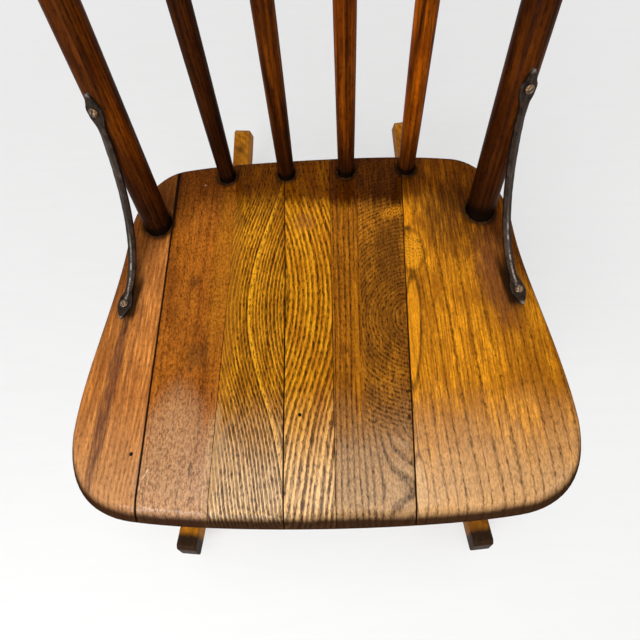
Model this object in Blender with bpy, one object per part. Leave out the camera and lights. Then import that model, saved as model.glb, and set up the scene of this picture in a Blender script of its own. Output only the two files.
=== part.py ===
"""Rocking chair: a plank seat on turned legs and curved rockers, a spindle back and iron post braces.

Lengths are metres, +Z is up and the sitter faces -Y. The origin is on the floor under the middle of the
rockers. Seat and back are laid out in a seat frame that leans back a little: its origin is on the seat's
top face, its +Y runs to the back along the seat and its +Z stands square to the seat. Left is -X.
"""

import math

import bmesh
import bpy
from mathutils import Matrix, Vector
from mathutils.geometry import interpolate_bezier

# Gaps between pieces
FIT_GAP = 0.0003
BOARD_GAP = 0.0004
OPEN_JOINT_GAP = 0.0010
SOCKET_END_GAP = 0.0010

# Mesh fineness
MERGE_DISTANCE = 1e-6
SHARP_ANGLE = math.radians(35)
LEG_SIDES = 14
POST_SIDES = 14
SPINDLE_SIDES = 12
STRETCHER_SIDES = 10
PEG_SIDES = 8
SCREW_SIDES = 10
OUTLINE_STEPS = 7
ROCKER_FRONT_STEPS = 10
ROCKER_REAR_STEPS = 13
CREST_COLUMNS = 24
BRACE_STEPS = 18

# Seat frame
SEAT_HEIGHT = 0.3616
SEAT_ORIGIN_Y = -0.0265
SEAT_TILT = math.radians(3.5)

# Seat plank: half widths, and edges measured from the seat frame's origin
SEAT_THICKNESS = 0.032
SEAT_REAR = 0.1075
SEAT_FRONT = 0.2785
SEAT_WAIST = 0.2035
SEAT_WAIST_AHEAD = 0.0975
SEAT_HIP = 0.2255
SEAT_HIP_BACK = 0.0835
SEAT_REAR_CORNER = 0.0535
SEAT_REAR_BOW = 0.008
SEAT_FRONT_CORNER = 0.0605
SEAT_FRONT_BOW = 0.0085
SEAT_EDGE_RADIUS = 0.008
SEAT_FRONT_ROLL = 0.022
SEAT_LOWER_CHAMFER = 0.005
DISH_DEPTH = 0.010
DISH_HALF_WIDTH = 0.150
DISH_CENTRE = -0.045
DISH_TO_REAR = 0.085
DISH_TO_FRONT = 0.190
DISH_RINGS = (0.84, 0.66, 0.46, 0.24)

# Board joints across the seat, at its rear and front edges, from left to right
JOINTS_AT_REAR = (-0.1545, -0.0880, -0.0355, 0.0145, 0.0950)
JOINTS_AT_FRONT = (-0.1580, -0.0960, -0.0320, 0.0115, 0.0770)
OPEN_JOINT = 0
DOWEL_RADIUS = 0.0045
DOWEL_LENGTH = 0.044
DOWEL_DEPTH = 0.0185
DOWEL_FROM_REAR = 0.150
DOWEL_FROM_FRONT = 0.040

# Back posts
POST_FROM_WAIST = 0.033
POST_FROM_REAR = 0.083
POST_SPLAY = math.radians(2.405)
POST_RAKE = math.radians(16.751)
POST_RADIUS = 0.01425
POST_TENON_RADIUS = 0.0130
POST_TENON_LENGTH = 0.022
POST_BASE_SWELL = 0.020
POST_SHAFT_HEIGHT = 0.290
POST_NECK_RADIUS = 0.0125
POST_RING_RADIUS = 0.0150
POST_RING_HEIGHT = 0.010
POST_RING_BELOW_CREST = 0.036
FINIAL_RADIUS = 0.0155
FINIAL_NECK_RADIUS = 0.0095
FINIAL_HEIGHT = 0.034

# Spindles
SPINDLE_COUNT = 4
SPINDLE_SPACING = 0.066
SPINDLE_TOP_SPACING = 0.068
SPINDLE_FROM_REAR = 0.0235
SPINDLE_TENON_RADIUS = 0.0075
SPINDLE_TENON_LENGTH = 0.020
SPINDLE_BASE_RADIUS = 0.0088
SPINDLE_SWELL_RADIUS = 0.0100
SPINDLE_SWELL_HEIGHT = 0.180
SPINDLE_TOP_RADIUS = 0.0062
SPINDLE_TOP_TENON = 0.020

# Crest rail between the posts
CREST_LIFT = 0.395
CREST_END_HEIGHT = 0.082
CREST_RISE = 0.050
CREST_RISE_HALF = 0.128
CREST_BELLY = 0.007
CREST_BOW = 0.014
CREST_THICKNESS = 0.021
CREST_EDGE = 0.004
CREST_TENON_THICKNESS = 0.009
CREST_TENON_HEIGHT = 0.044
CREST_TENON_LENGTH = 0.013
CREST_PIN_RADIUS = 0.002
CREST_PIN_STOP = 0.004

# Iron braces from the posts to the seat
BRACE_HEIGHT = 0.128
BRACE_ANGLE = math.radians(77)
BRACE_FOOT_FROM_EDGE = 0.0160
BRACE_FOOT_AHEAD = 0.0945
BRACE_FOOT_TOE = math.radians(7.97)
BRACE_POST_REACH = 0.0100
BRACE_SEAT_REACH = 0.0720
BRACE_WIDTH = 0.0076
BRACE_THICKNESS = 0.0050
BRACE_PAD_WIDTH = 0.0140
BRACE_PAD_THICKNESS = 0.0032
BRACE_TIP = 0.0155
BRACE_TIP_WIDTH = 0.0030
BRACE_PAD_FLAT = 0.0060
BRACE_PAD_TAPER = 0.024
SCREW_RADIUS = 0.0019
SCREW_HEAD_RADIUS = 0.0042
SCREW_HEAD_HEIGHT = 0.0026
SCREW_LENGTH = 0.016
SCREW_SLOT_WIDTH = 0.0010
SCREW_SLOT_DEPTH = 0.0012

# Rockers: lengths along the rocker from the place where it meets the floor
ROCKER_RADIUS = 1.100
ROCKER_FRONT_REACH = 0.306
ROCKER_REAR_REACH = 0.409
ROCKER_FLAT = 0.030
ROCKER_TOE = math.radians(5.13)
ROCKER_FROM_HIP = 0.0468
ROCKER_THICKNESS = 0.028
ROCKER_DEPTH = 0.042
ROCKER_TIP_DEPTH = 0.036
ROCKER_NOSE_DEPTH = 0.030
ROCKER_NOSE_LENGTH = 0.006
ROCKER_EDGE = 0.002

# Legs
FRONT_LEG_FROM_HIP = 0.0515
FRONT_LEG_FROM_FRONT = 0.0835
REAR_LEG_X = 0.128
REAR_LEG_FROM_REAR = 0.0775
FRONT_FOOT_AHEAD = 0.2087
REAR_FOOT_BEHIND = 0.1140
LEG_HEAD_RADIUS = 0.0105
LEG_HEAD_TENON = 0.020
LEG_FOOT_RADIUS = 0.0090
LEG_FOOT_TENON = 0.026
LEG_ANKLE_RADIUS = 0.0150
LEG_SHAFT_RADIUS = 0.0172
LEG_GROOVE_RADIUS = 0.0138
LEG_RING_RADIUS = 0.0192
LEG_VASE_RADIUS = 0.0165
FOOT_PEG_RADIUS = 0.003
FOOT_PEG_DROP = 0.013

# Stretchers: heights above the floor at the legs
FRONT_STRETCHER_HEIGHTS = (0.150, 0.235)
SIDE_STRETCHER_FRONT_HEIGHTS = (0.112, 0.193)
SIDE_STRETCHER_REAR_HEIGHTS = (0.108, 0.186)
REAR_STRETCHER_HEIGHT = 0.147
STRETCHER_TENON_RADIUS = 0.0060
STRETCHER_SWELL_RADIUS = 0.0095
STRETCHER_SET_BACK = 0.0045
STRETCHER_TAPER = 0.024
FRONT_STRETCHER_BULB = 0.0135
FRONT_STRETCHER_WAIST = 0.0080
FRONT_STRETCHER_BULB_LENGTH = 0.060

# Places that follow from the sizes above
POST_X = SEAT_WAIST - POST_FROM_WAIST
POST_Y = SEAT_REAR - POST_FROM_REAR
POST_OUT = math.tan(POST_SPLAY)
POST_BACK = math.tan(POST_RAKE)
POST_STRETCH = math.sqrt(1 + POST_OUT ** 2 + POST_BACK ** 2)
SPINDLE_Y = SEAT_REAR - SPINDLE_FROM_REAR
CREST_END_TOP = CREST_LIFT + CREST_END_HEIGHT
CREST_TENON_MIDDLE = CREST_LIFT + CREST_END_HEIGHT / 2
ROCKER_HALF_TRACK = SEAT_HIP - ROCKER_FROM_HIP
ROCKER_CONTACT_Y = (ROCKER_FRONT_REACH - ROCKER_REAR_REACH) * math.cos(ROCKER_TOE) / 2
SEAT_FRAME = Matrix.Translation((0, SEAT_ORIGIN_Y, SEAT_HEIGHT)) @ Matrix.Rotation(-SEAT_TILT, 4, "X")
SIDES = {"left": -1, "right": 1}

# Finishes: colour, roughness, metallic
FINISHES = {
    "seat_wood": ((0.36, 0.17, 0.055), 0.42, 0.0),
    "turned_wood": ((0.12, 0.042, 0.018), 0.40, 0.0),
    "rocker_wood": ((0.30, 0.13, 0.040), 0.45, 0.0),
    "peg_wood": ((0.33, 0.20, 0.095), 0.60, 0.0),
    "iron": ((0.045, 0.040, 0.038), 0.45, 1.0),
    "screw_brass": ((0.42, 0.27, 0.13), 0.38, 1.0),
}


def clear_scene():
    """Empty the scene before the chair is modelled."""
    for item in list(bpy.data.objects):
        bpy.data.objects.remove(item, do_unlink=True)


def make_material(name, finish):
    """A Principled material for one piece."""
    colour, roughness, metallic = FINISHES[finish]
    material = bpy.data.materials.new(name)
    material.use_nodes = True
    shader = material.node_tree.nodes["Principled BSDF"]
    shader.inputs["Base Color"].default_value = (*colour, 1.0)
    shader.inputs["Roughness"].default_value = roughness
    shader.inputs["Metallic"].default_value = metallic
    return material


def add_object(name, bm, parent=None, matrix=None):
    """Put a bmesh into the scene as an object, in its parent's frame."""
    bmesh.ops.recalc_face_normals(bm, faces=bm.faces)
    mesh = bpy.data.meshes.new(name)
    bm.to_mesh(mesh)
    bm.free()
    mesh.shade_smooth()
    mesh.set_sharp_from_angle(angle=SHARP_ANGLE)
    item = bpy.data.objects.new(name, mesh)
    bpy.context.scene.collection.objects.link(item)
    item.parent = parent
    item.matrix_local = matrix or Matrix()
    return item


def add_piece(name, bm, finish, parent=None, matrix=None):
    """A finished piece of the chair."""
    piece = add_object(name, bm, parent, matrix)
    piece.data.materials.append(make_material(name, finish))
    return piece


def combine(target, tool, operation):
    """Cut a tool out of a piece, or join it on, and keep the tool as a hidden guide."""
    tool.hide_render = True
    tool.display_type = "WIRE"
    boolean = target.modifiers.new(tool.name, "BOOLEAN")
    boolean.operation = operation
    boolean.solver = "EXACT"
    boolean.object = tool


def axis_frame(start, end):
    """A frame at start whose Z axis points at end."""
    return Matrix.Translation(start) @ (end - start).to_track_quat("Z", "Y").to_matrix().to_4x4()


def turned(stations, sides):
    """A turning about Z through (height, radius) stations."""
    bm = bmesh.new()
    outline = [(stations[0][0], 0.0), *stations, (stations[-1][0], 0.0)]
    verts = [bm.verts.new((radius, 0.0, height)) for height, radius in outline]
    edges = [bm.edges.new(pair) for pair in zip(verts, verts[1:])]
    bmesh.ops.spin(bm, geom=verts + edges, cent=(0, 0, 0), axis=(0, 0, 1), angle=math.tau,
                   steps=sides, use_merge=True)
    bmesh.ops.remove_doubles(bm, verts=bm.verts, dist=MERGE_DISTANCE)
    return bm


def cut_socket(targets, name, start, end, radius, sides, parent=None):
    """Drill a round socket for a peg or tenon of the given radius, with a fit gap all round."""
    wall = (radius + FIT_GAP) / math.cos(math.pi / sides)
    length = (end - start).length
    tool = add_object(name, turned([(0.0, wall), (length, wall)], sides), parent, axis_frame(start, end))
    for target in targets:
        combine(target, tool, "DIFFERENCE")


def lattice_box(cuts):
    """A box from -1 to 1 each way, with extra edge loops at the given places along X, Y and Z."""
    bm = bmesh.new()
    bmesh.ops.create_cube(bm, size=2.0)
    for axis, places in enumerate(cuts):
        normal = Vector((0, 0, 0))
        normal[axis] = 1.0
        for place in places:
            bmesh.ops.bisect_plane(bm, geom=bm.verts[:] + bm.edges[:] + bm.faces[:], dist=MERGE_DISTANCE,
                                   plane_co=normal * place, plane_no=normal)
    return bm


def even_cuts(count):
    """Places that divide -1 to 1 into a number of equal steps."""
    return [2 * step / count - 1 for step in range(1, count)]


def shape_box(cuts, place):
    """A lattice box whose points are moved to place(u, v, w)."""
    bm = lattice_box(cuts)
    for vert in bm.verts:
        vert.co = place(*vert.co)
    return bm


def mix(start, end, share):
    """The value a share of the way from start to end."""
    return start + (end - start) * share


# Seat


def seat_half_outline():
    """The right half of the seat's outline, from the middle of the rear edge round to the front edge."""
    rear_corner_y = SEAT_REAR - SEAT_REAR_BOW
    front_corner_y = -SEAT_FRONT + SEAT_FRONT_BOW
    waist_y = SEAT_REAR - SEAT_WAIST_AHEAD
    hip_y = -SEAT_FRONT + SEAT_HIP_BACK
    rear = Vector((0, SEAT_REAR))
    rear_corner = Vector((SEAT_WAIST - SEAT_REAR_CORNER, rear_corner_y))
    waist = Vector((SEAT_WAIST, waist_y))
    hip = Vector((SEAT_HIP, hip_y))
    front_corner = Vector((SEAT_HIP - SEAT_FRONT_CORNER, front_corner_y))
    front = Vector((0, -SEAT_FRONT))
    rear_lean = Vector((SEAT_REAR_CORNER, -SEAT_REAR_BOW)) * 0.55
    front_lean = Vector((SEAT_FRONT_CORNER, SEAT_FRONT_BOW)) * 0.62
    segments = (
        (rear, rear + Vector((rear_corner.x * 0.5, 0)), rear_corner - rear_lean, rear_corner),
        (rear_corner, rear_corner + rear_lean, waist + Vector((0, SEAT_WAIST_AHEAD * 0.5)), waist),
        (waist, mix(waist, Vector((waist.x, hip.y)), 0.32), mix(hip, Vector((hip.x, waist.y)), 0.32), hip),
        (hip, mix(hip, Vector((hip.x, front.y)), 0.55), front_corner + front_lean, front_corner),
        (front_corner, front_corner - front_lean, front + Vector((front_corner.x * 0.4, 0)), front),
    )
    points = []
    for knot, handle, next_handle, next_knot in segments:
        points += interpolate_bezier(knot, handle, next_handle, next_knot, OUTLINE_STEPS + 1)[:-1]
    return [point.to_2d() for point in points] + [front]


def seat_outline():
    """The whole outline as a closed loop, starting and ending beside the middle of the rear edge."""
    right = seat_half_outline()
    left = [Vector((-point.x, point.y)) for point in reversed(right[1:-1])]
    return right + left


def inset_loop(loop, amounts):
    """Move each point of a loop inwards, square to the loop, by its own amount."""
    moved = []
    for index, point in enumerate(loop):
        along = loop[(index + 1) % len(loop)] - loop[index - 1]
        inwards = Vector((along.y, -along.x)).normalized()
        moved.append(point + inwards * amounts[index])
    return moved


def dish_drop(x, y):
    """How far the saddled top lies below the rim."""
    reach = DISH_TO_REAR if y > DISH_CENTRE else DISH_TO_FRONT
    radius_squared = (x / DISH_HALF_WIDTH) ** 2 + ((y - DISH_CENTRE) / reach) ** 2
    return DISH_DEPTH * max(0.0, 1.0 - radius_squared) ** 2


def front_share(y):
    """1 at the rolled front edge, falling to 0 along the sides."""
    share = (-y - (SEAT_FRONT - SEAT_HIP_BACK)) / (SEAT_HIP_BACK - SEAT_FRONT_BOW)
    return min(1.0, max(0.0, share))


def seat_blank():
    """The whole seat as one plank, before it is divided into boards."""
    outline = seat_outline()
    rolls = [mix(SEAT_EDGE_RADIUS, SEAT_FRONT_ROLL, front_share(point.y)) for point in outline]
    drops = [mix(SEAT_EDGE_RADIUS, SEAT_FRONT_ROLL, 0.4 * front_share(point.y)) for point in outline]
    bend = 1 - math.sqrt(0.5)
    centre = Vector((0, DISH_CENTRE))
    bm = bmesh.new()
    loops = []

    def add_loop(points, heights):
        loops.append([bm.verts.new((*point, height)) for point, height in zip(points, heights)])

    count = len(outline)
    add_loop(inset_loop(outline, [SEAT_LOWER_CHAMFER] * count), [-SEAT_THICKNESS] * count)
    add_loop(outline, [SEAT_LOWER_CHAMFER - SEAT_THICKNESS] * count)
    add_loop(outline, [-drop for drop in drops])
    add_loop(inset_loop(outline, [bend * roll for roll in rolls]), [-bend * drop for drop in drops])
    rim = inset_loop(outline, rolls)
    add_loop(rim, [-dish_drop(*point) for point in rim])
    for share in DISH_RINGS:
        ring = [mix(centre, point, share) for point in rim]
        add_loop(ring, [-dish_drop(*point) for point in ring])
    middle = bm.verts.new((*centre, -dish_drop(*centre)))
    bm.faces.new(loops[0])
    for lower, upper in zip(loops, loops[1:]):
        for index in range(count):
            after = (index + 1) % count
            bm.faces.new((lower[index], lower[after], upper[after], upper[index]))
    for index in range(count):
        bm.faces.new((loops[-1][index], loops[-1][(index + 1) % count], middle))
    bmesh.ops.recalc_face_normals(bm, faces=bm.faces)
    return bm


def joint_x(joint, y):
    """Where a board joint crosses the seat at a distance y behind the seat's origin."""
    share = (SEAT_REAR - y) / (SEAT_REAR + SEAT_FRONT)
    return mix(JOINTS_AT_REAR[joint], JOINTS_AT_FRONT[joint], share)


def joint_gap(joint):
    """The opening of a board joint."""
    return OPEN_JOINT_GAP if joint == OPEN_JOINT else BOARD_GAP


def split_at(bm, joint, keep):
    """Keep the part of the seat on one side of a joint: keep is -1 for the left and 1 for the right."""
    rear = Vector((joint_x(joint, SEAT_REAR), SEAT_REAR, 0))
    front = Vector((joint_x(joint, -SEAT_FRONT), -SEAT_FRONT, 0))
    across = (rear - front).cross(Vector((0, 0, 1))).normalized()
    place = rear + across * keep * joint_gap(joint) / 2
    bmesh.ops.bisect_plane(bm, geom=bm.verts[:] + bm.edges[:] + bm.faces[:], dist=MERGE_DISTANCE,
                           plane_co=place, plane_no=across * keep, clear_inner=True)
    rim = [edge for edge in bm.edges if edge.is_boundary]
    bmesh.ops.holes_fill(bm, edges=rim, sides=0)


def build_seat(seat_frame):
    """The six boards of the seat, in order from the left."""
    boards = []
    for index in range(len(JOINTS_AT_REAR) + 1):
        bm = seat_blank()
        if index > 0:
            split_at(bm, index - 1, 1)
        if index < len(JOINTS_AT_REAR):
            split_at(bm, index, -1)
        boards.append(add_piece(f"seat_board_{index + 1}", bm, "seat_wood", seat_frame))
    return boards


def boards_at(boards, x, y, radius):
    """The boards that a socket of a given radius reaches."""
    reached = []
    for index, board in enumerate(boards):
        left = joint_x(index - 1, y) if index > 0 else -math.inf
        right = joint_x(index, y) if index < len(JOINTS_AT_REAR) else math.inf
        if x + radius > left and x - radius < right:
            reached.append(board)
    return reached


def build_dowels(boards, seat_frame):
    """Two blind dowels across each board joint."""
    places = {"front": DOWEL_FROM_FRONT - SEAT_FRONT, "rear": SEAT_REAR - DOWEL_FROM_REAR}
    for joint in range(len(JOINTS_AT_REAR)):
        for place, y in places.items():
            middle = Vector((joint_x(joint, y), y, -DOWEL_DEPTH))
            half = Vector((DOWEL_LENGTH / 2, 0, 0))
            slack = Vector((SOCKET_END_GAP, 0, 0))
            name = f"seat_dowel_{joint + 1}_{place}"
            stations = [(0.0, DOWEL_RADIUS), (DOWEL_LENGTH, DOWEL_RADIUS)]
            frame = axis_frame(middle - half, middle + half)
            add_piece(name, turned(stations, PEG_SIDES), "peg_wood", seat_frame, frame)
            cut_socket(boards[joint:joint + 2], f"{name}_socket", middle - half - slack,
                       middle + half + slack, DOWEL_RADIUS, PEG_SIDES, seat_frame)


# Back


def post_point(side, height):
    """A point on a post's axis at a height above the seat."""
    return Vector((side * (POST_X + POST_OUT * height), POST_Y + POST_BACK * height, height))


def seat_socket_end(start, inwards, depth):
    """The two ends of a drill that enters the seat at start: clear above it, and past the tenon's end."""
    return start - inwards * SEAT_THICKNESS, start + inwards * (depth + SOCKET_END_GAP)


def post_stations():
    """Height along a post and radius, from the tenon in the seat to the finial."""
    ring = CREST_LIFT - POST_RING_BELOW_CREST
    neck = CREST_END_TOP + CREST_EDGE
    ball = neck + FINIAL_HEIGHT / 2
    top = neck + FINIAL_HEIGHT
    half_ring = POST_RING_HEIGHT / 2
    stations = [
        (-POST_TENON_LENGTH, POST_TENON_RADIUS),
        (POST_TENON_RADIUS * POST_BACK + POST_BASE_SWELL * 0.1, POST_TENON_RADIUS),
        (POST_BASE_SWELL, POST_RADIUS),
        (POST_SHAFT_HEIGHT, POST_RADIUS),
        (ring - 1.8 * half_ring, POST_NECK_RADIUS),
        (ring - half_ring, POST_RING_RADIUS),
        (ring + half_ring, POST_RING_RADIUS),
        (ring + 1.8 * half_ring, POST_NECK_RADIUS),
        (neck, POST_NECK_RADIUS),
        (neck + FINIAL_HEIGHT * 0.16, FINIAL_NECK_RADIUS),
        (ball - FINIAL_HEIGHT * 0.08, FINIAL_RADIUS * 0.92),
        (ball + FINIAL_HEIGHT * 0.08, FINIAL_RADIUS),
        (ball + FINIAL_HEIGHT * 0.28, FINIAL_RADIUS * 0.82),
        (top - FINIAL_HEIGHT * 0.07, FINIAL_RADIUS * 0.45),
        (top, FINIAL_RADIUS * 0.18),
    ]
    return [(height * POST_STRETCH, radius) for height, radius in stations]


def build_posts(boards, seat_frame):
    """The two back posts, each in a raked socket in the seat."""
    posts = {}
    for name, side in SIDES.items():
        base = post_point(side, 0)
        frame = axis_frame(base, post_point(side, 1))
        piece = add_piece(f"back_post_{name}", turned(post_stations(), POST_SIDES), "turned_wood",
                          seat_frame, frame)
        inwards = (base - post_point(side, 1)).normalized()
        start, end = seat_socket_end(base, inwards, POST_TENON_LENGTH * POST_STRETCH)
        cut_socket(boards_at(boards, *base.xy, POST_TENON_RADIUS + POST_TENON_LENGTH * POST_BACK),
                   f"back_post_{name}_socket", start, end, POST_TENON_RADIUS, POST_SIDES, seat_frame)
        posts[name] = piece
    return posts


def crest_half_width(height):
    """Half the distance between the post axes at a height above the seat."""
    return POST_X + POST_OUT * height


def crest_sheet(x, height):
    """How far the crest's middle sheet lies behind the seat's origin."""
    reach = x / crest_half_width(height)
    return POST_Y + POST_BACK * height + CREST_BOW * (1 - reach ** 2)


def crest_lower(x):
    """Height of the crest's lower edge above the seat."""
    return CREST_LIFT - CREST_BELLY * (1 - (x / crest_half_width(CREST_LIFT)) ** 2)


def crest_upper(x):
    """Height of the crest's upper edge above the seat: level shoulders and a raised middle."""
    share = min(1.0, abs(x) / CREST_RISE_HALF)
    return CREST_END_TOP + CREST_RISE * (1 + math.cos(math.pi * share)) / 2


def crest_point(u, v, w):
    """A point of the crest: u runs from axis to axis of the posts, v up the rail, w from front to back."""
    lean = math.sqrt(1 + POST_BACK ** 2)
    eased = CREST_EDGE / (CREST_THICKNESS / 2)
    offset = w * CREST_THICKNESS / 2 * (1 - eased * (abs(v) > 1 - MERGE_DISTANCE))
    middle_x = u * crest_half_width(CREST_TENON_MIDDLE)
    height = mix(crest_lower(middle_x), crest_upper(middle_x), (v + 1) / 2)
    x = u * crest_half_width(height)
    return Vector((x, crest_sheet(x, height) + offset * lean, height))


def crest_tenon(side, slack):
    """The flat tenon at one end of the crest, or its mortise when slack is more than nothing."""
    half_height = CREST_TENON_HEIGHT / 2 + slack
    half_thickness = CREST_TENON_THICKNESS / 2 + slack

    def place(u, v, w):
        height = CREST_TENON_MIDDLE + v * half_height
        shoulder = crest_half_width(height) - POST_NECK_RADIUS
        x = shoulder + (CREST_TENON_LENGTH + slack if u > 0 else -CREST_TENON_LENGTH)
        return Vector((side * x, POST_Y + POST_BACK * height + w * half_thickness, height))

    return shape_box(([], [], []), place)


def build_crest(posts, seat_frame):
    """The bowed and shaped crest rail, coped to the posts, tenoned into them and pinned from behind."""
    eased = 2 * CREST_EDGE / (CREST_END_HEIGHT + CREST_RISE)
    rows = [eased - 1, 0.0, 1 - eased]
    crest = add_piece("crest_rail", shape_box((even_cuts(CREST_COLUMNS), rows, [0.0]), crest_point),
                      "turned_wood", seat_frame)
    for name, side in SIDES.items():
        cut_socket([crest], f"crest_cope_{name}", post_point(side, CREST_LIFT - CREST_END_HEIGHT),
                   post_point(side, CREST_END_TOP + CREST_END_HEIGHT), POST_NECK_RADIUS, POST_SIDES,
                   seat_frame)
        combine(crest, add_object(f"crest_tenon_{name}", crest_tenon(side, 0.0), seat_frame), "UNION")
        mortise = add_object(f"crest_mortise_{name}", crest_tenon(side, FIT_GAP), seat_frame)
        combine(posts[name], mortise, "DIFFERENCE")
        build_crest_pin(name, side, (posts[name], crest), seat_frame)
    return crest


def build_crest_pin(name, side, targets, seat_frame):
    """A small peg driven from behind through a post and the crest's tenon."""
    axis_point = post_point(side, CREST_TENON_MIDDLE)
    inner = Vector((-side * (POST_NECK_RADIUS - CREST_TENON_LENGTH / 2), 0, 0))
    forwards = Vector((0, -1, POST_BACK)).normalized()
    middle = axis_point + inner
    depth = math.sqrt(POST_NECK_RADIUS ** 2 - inner.x ** 2)
    start = middle - forwards * depth
    end = middle + forwards * (depth - CREST_PIN_STOP)
    stations = [(0.0, CREST_PIN_RADIUS), ((end - start).length, CREST_PIN_RADIUS)]
    add_piece(f"crest_pin_{name}", turned(stations, PEG_SIDES), "peg_wood", seat_frame,
              axis_frame(start, end))
    cut_socket(targets, f"crest_pin_{name}_socket", start - forwards * depth,
               end + forwards * SOCKET_END_GAP, CREST_PIN_RADIUS, PEG_SIDES, seat_frame)


def spindle_stations(length):
    """Height along a spindle and radius: a slow swell that draws in to the crest."""
    return [
        (-SPINDLE_TENON_LENGTH, SPINDLE_TENON_RADIUS),
        (SPINDLE_TENON_RADIUS / 2, SPINDLE_TENON_RADIUS),
        (SPINDLE_BASE_RADIUS * 1.4, SPINDLE_BASE_RADIUS),
        (SPINDLE_SWELL_HEIGHT * 0.55, mix(SPINDLE_BASE_RADIUS, SPINDLE_SWELL_RADIUS, 0.7)),
        (SPINDLE_SWELL_HEIGHT, SPINDLE_SWELL_RADIUS),
        (mix(SPINDLE_SWELL_HEIGHT, length, 0.40), mix(SPINDLE_SWELL_RADIUS, SPINDLE_TOP_RADIUS, 0.30)),
        (mix(SPINDLE_SWELL_HEIGHT, length, 0.75), mix(SPINDLE_SWELL_RADIUS, SPINDLE_TOP_RADIUS, 0.74)),
        (length - SPINDLE_TOP_RADIUS, SPINDLE_TOP_RADIUS),
        (length + SPINDLE_TOP_TENON, SPINDLE_TOP_RADIUS),
    ]


def build_spindles(boards, crest, seat_frame):
    """The spindles, spread evenly between the posts, from sockets in the seat to sockets in the crest."""
    for index in range(SPINDLE_COUNT):
        step = index - (SPINDLE_COUNT - 1) / 2
        base = Vector((step * SPINDLE_SPACING, SPINDLE_Y, 0))
        top_x = step * SPINDLE_TOP_SPACING
        top = Vector((top_x, crest_sheet(top_x, crest_lower(top_x)), crest_lower(top_x)))
        name = f"spindle_{index + 1}"
        length = (top - base).length
        add_piece(name, turned(spindle_stations(length), SPINDLE_SIDES), "turned_wood", seat_frame,
                  axis_frame(base, top))
        upwards = (top - base).normalized()
        start, end = seat_socket_end(base, -upwards, SPINDLE_TENON_LENGTH)
        cut_socket(boards_at(boards, *base.xy, SPINDLE_TENON_RADIUS + FIT_GAP), f"{name}_seat_socket",
                   start, end, SPINDLE_TENON_RADIUS, SPINDLE_SIDES, seat_frame)
        cut_socket([crest], f"{name}_crest_socket", top - upwards * SPINDLE_TOP_TENON,
                   top + upwards * (SPINDLE_TOP_TENON + SOCKET_END_GAP), SPINDLE_TOP_RADIUS,
                   SPINDLE_SIDES, seat_frame)


# Braces


def side_half_width(y):
    """Half the seat's width along its straight side, at a distance y behind the seat's origin."""
    outline = seat_half_outline()
    for near, far in zip(outline, outline[1:]):
        if near.x > POST_X and near.y >= y >= far.y:
            return mix(near.x, far.x, (near.y - y) / (near.y - far.y))
    return SEAT_HIP


class BracePath:
    """The middle line of one brace, from its pad on a post to its pad on the seat."""

    def __init__(self, side):
        upwards = (post_point(side, 1) - post_point(side, 0)).normalized()
        facing = Vector((side * math.cos(BRACE_ANGLE), -math.sin(BRACE_ANGLE), 0))
        self.post_normal = (facing - upwards * facing.dot(upwards)).normalized()
        self.seat_normal = Vector((0, 0, 1))
        half_pad = BRACE_PAD_THICKNESS / 2
        post_side = post_point(side, BRACE_HEIGHT) + self.post_normal * POST_RADIUS
        self.top = post_side + self.post_normal * (half_pad + FIT_GAP)
        foot_y = POST_Y - BRACE_FOOT_AHEAD
        foot_x = side_half_width(foot_y) - BRACE_FOOT_FROM_EDGE
        self.foot = Vector((side * foot_x, foot_y, half_pad + FIT_GAP))
        self.down = -upwards
        self.forwards = Vector((side * math.sin(BRACE_FOOT_TOE), -math.cos(BRACE_FOOT_TOE), 0))
        start = self.top + self.down * BRACE_PAD_FLAT
        end = self.foot - self.forwards * BRACE_PAD_FLAT
        self.curve = interpolate_bezier(start, start + self.down * BRACE_POST_REACH,
                                        end - self.forwards * BRACE_SEAT_REACH, end, BRACE_STEPS + 1)

    def stations(self):
        """Middle points from the upper tip, through both screw places, to the lower tip."""
        upper = [self.top - self.down * BRACE_TIP, self.top - self.down * BRACE_PAD_WIDTH / 2]
        lower = [self.foot + self.forwards * BRACE_PAD_WIDTH / 2, self.foot + self.forwards * BRACE_TIP]
        return upper + list(self.curve) + lower

    def normal(self, share):
        """The direction that the bar's outer face looks, from post to seat."""
        return self.post_normal.slerp(self.seat_normal, share)


def brace_mesh(path):
    """A flat bar along the path, spread into a thin pointed pad at each end."""
    points = path.stations()
    travelled = [0.0]
    for near, far in zip(points, points[1:]):
        travelled.append(travelled[-1] + (far - near).length)
    last = len(points) - 1
    whole = travelled[-1]

    def place(u, v, w):
        index = round((u + 1) / 2 * last)
        ahead = points[min(index + 1, last)] - points[max(index - 1, 0)]
        along = ahead.normalized()
        share = min(1.0, max(0.0, (travelled[index] - BRACE_TIP) / (whole - 2 * BRACE_TIP)))
        normal = path.normal(share)
        normal = (normal - along * normal.dot(along)).normalized()
        from_tip = min(travelled[index], whole - travelled[index])
        from_pad = from_tip - BRACE_TIP - BRACE_PAD_FLAT
        bar_share = min(1.0, max(0.0, from_pad / BRACE_PAD_TAPER))
        width = mix(BRACE_PAD_WIDTH, BRACE_WIDTH, bar_share)
        if index in (0, last):
            width = BRACE_TIP_WIDTH
        thickness = mix(BRACE_PAD_THICKNESS, BRACE_THICKNESS, bar_share)
        eased = 1 - 0.35 * abs(v) * bar_share
        return points[index] + along.cross(normal) * v * width / 2 + normal * w * eased * thickness / 2

    return shape_box((even_cuts(last), [0.0], []), place)


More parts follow.
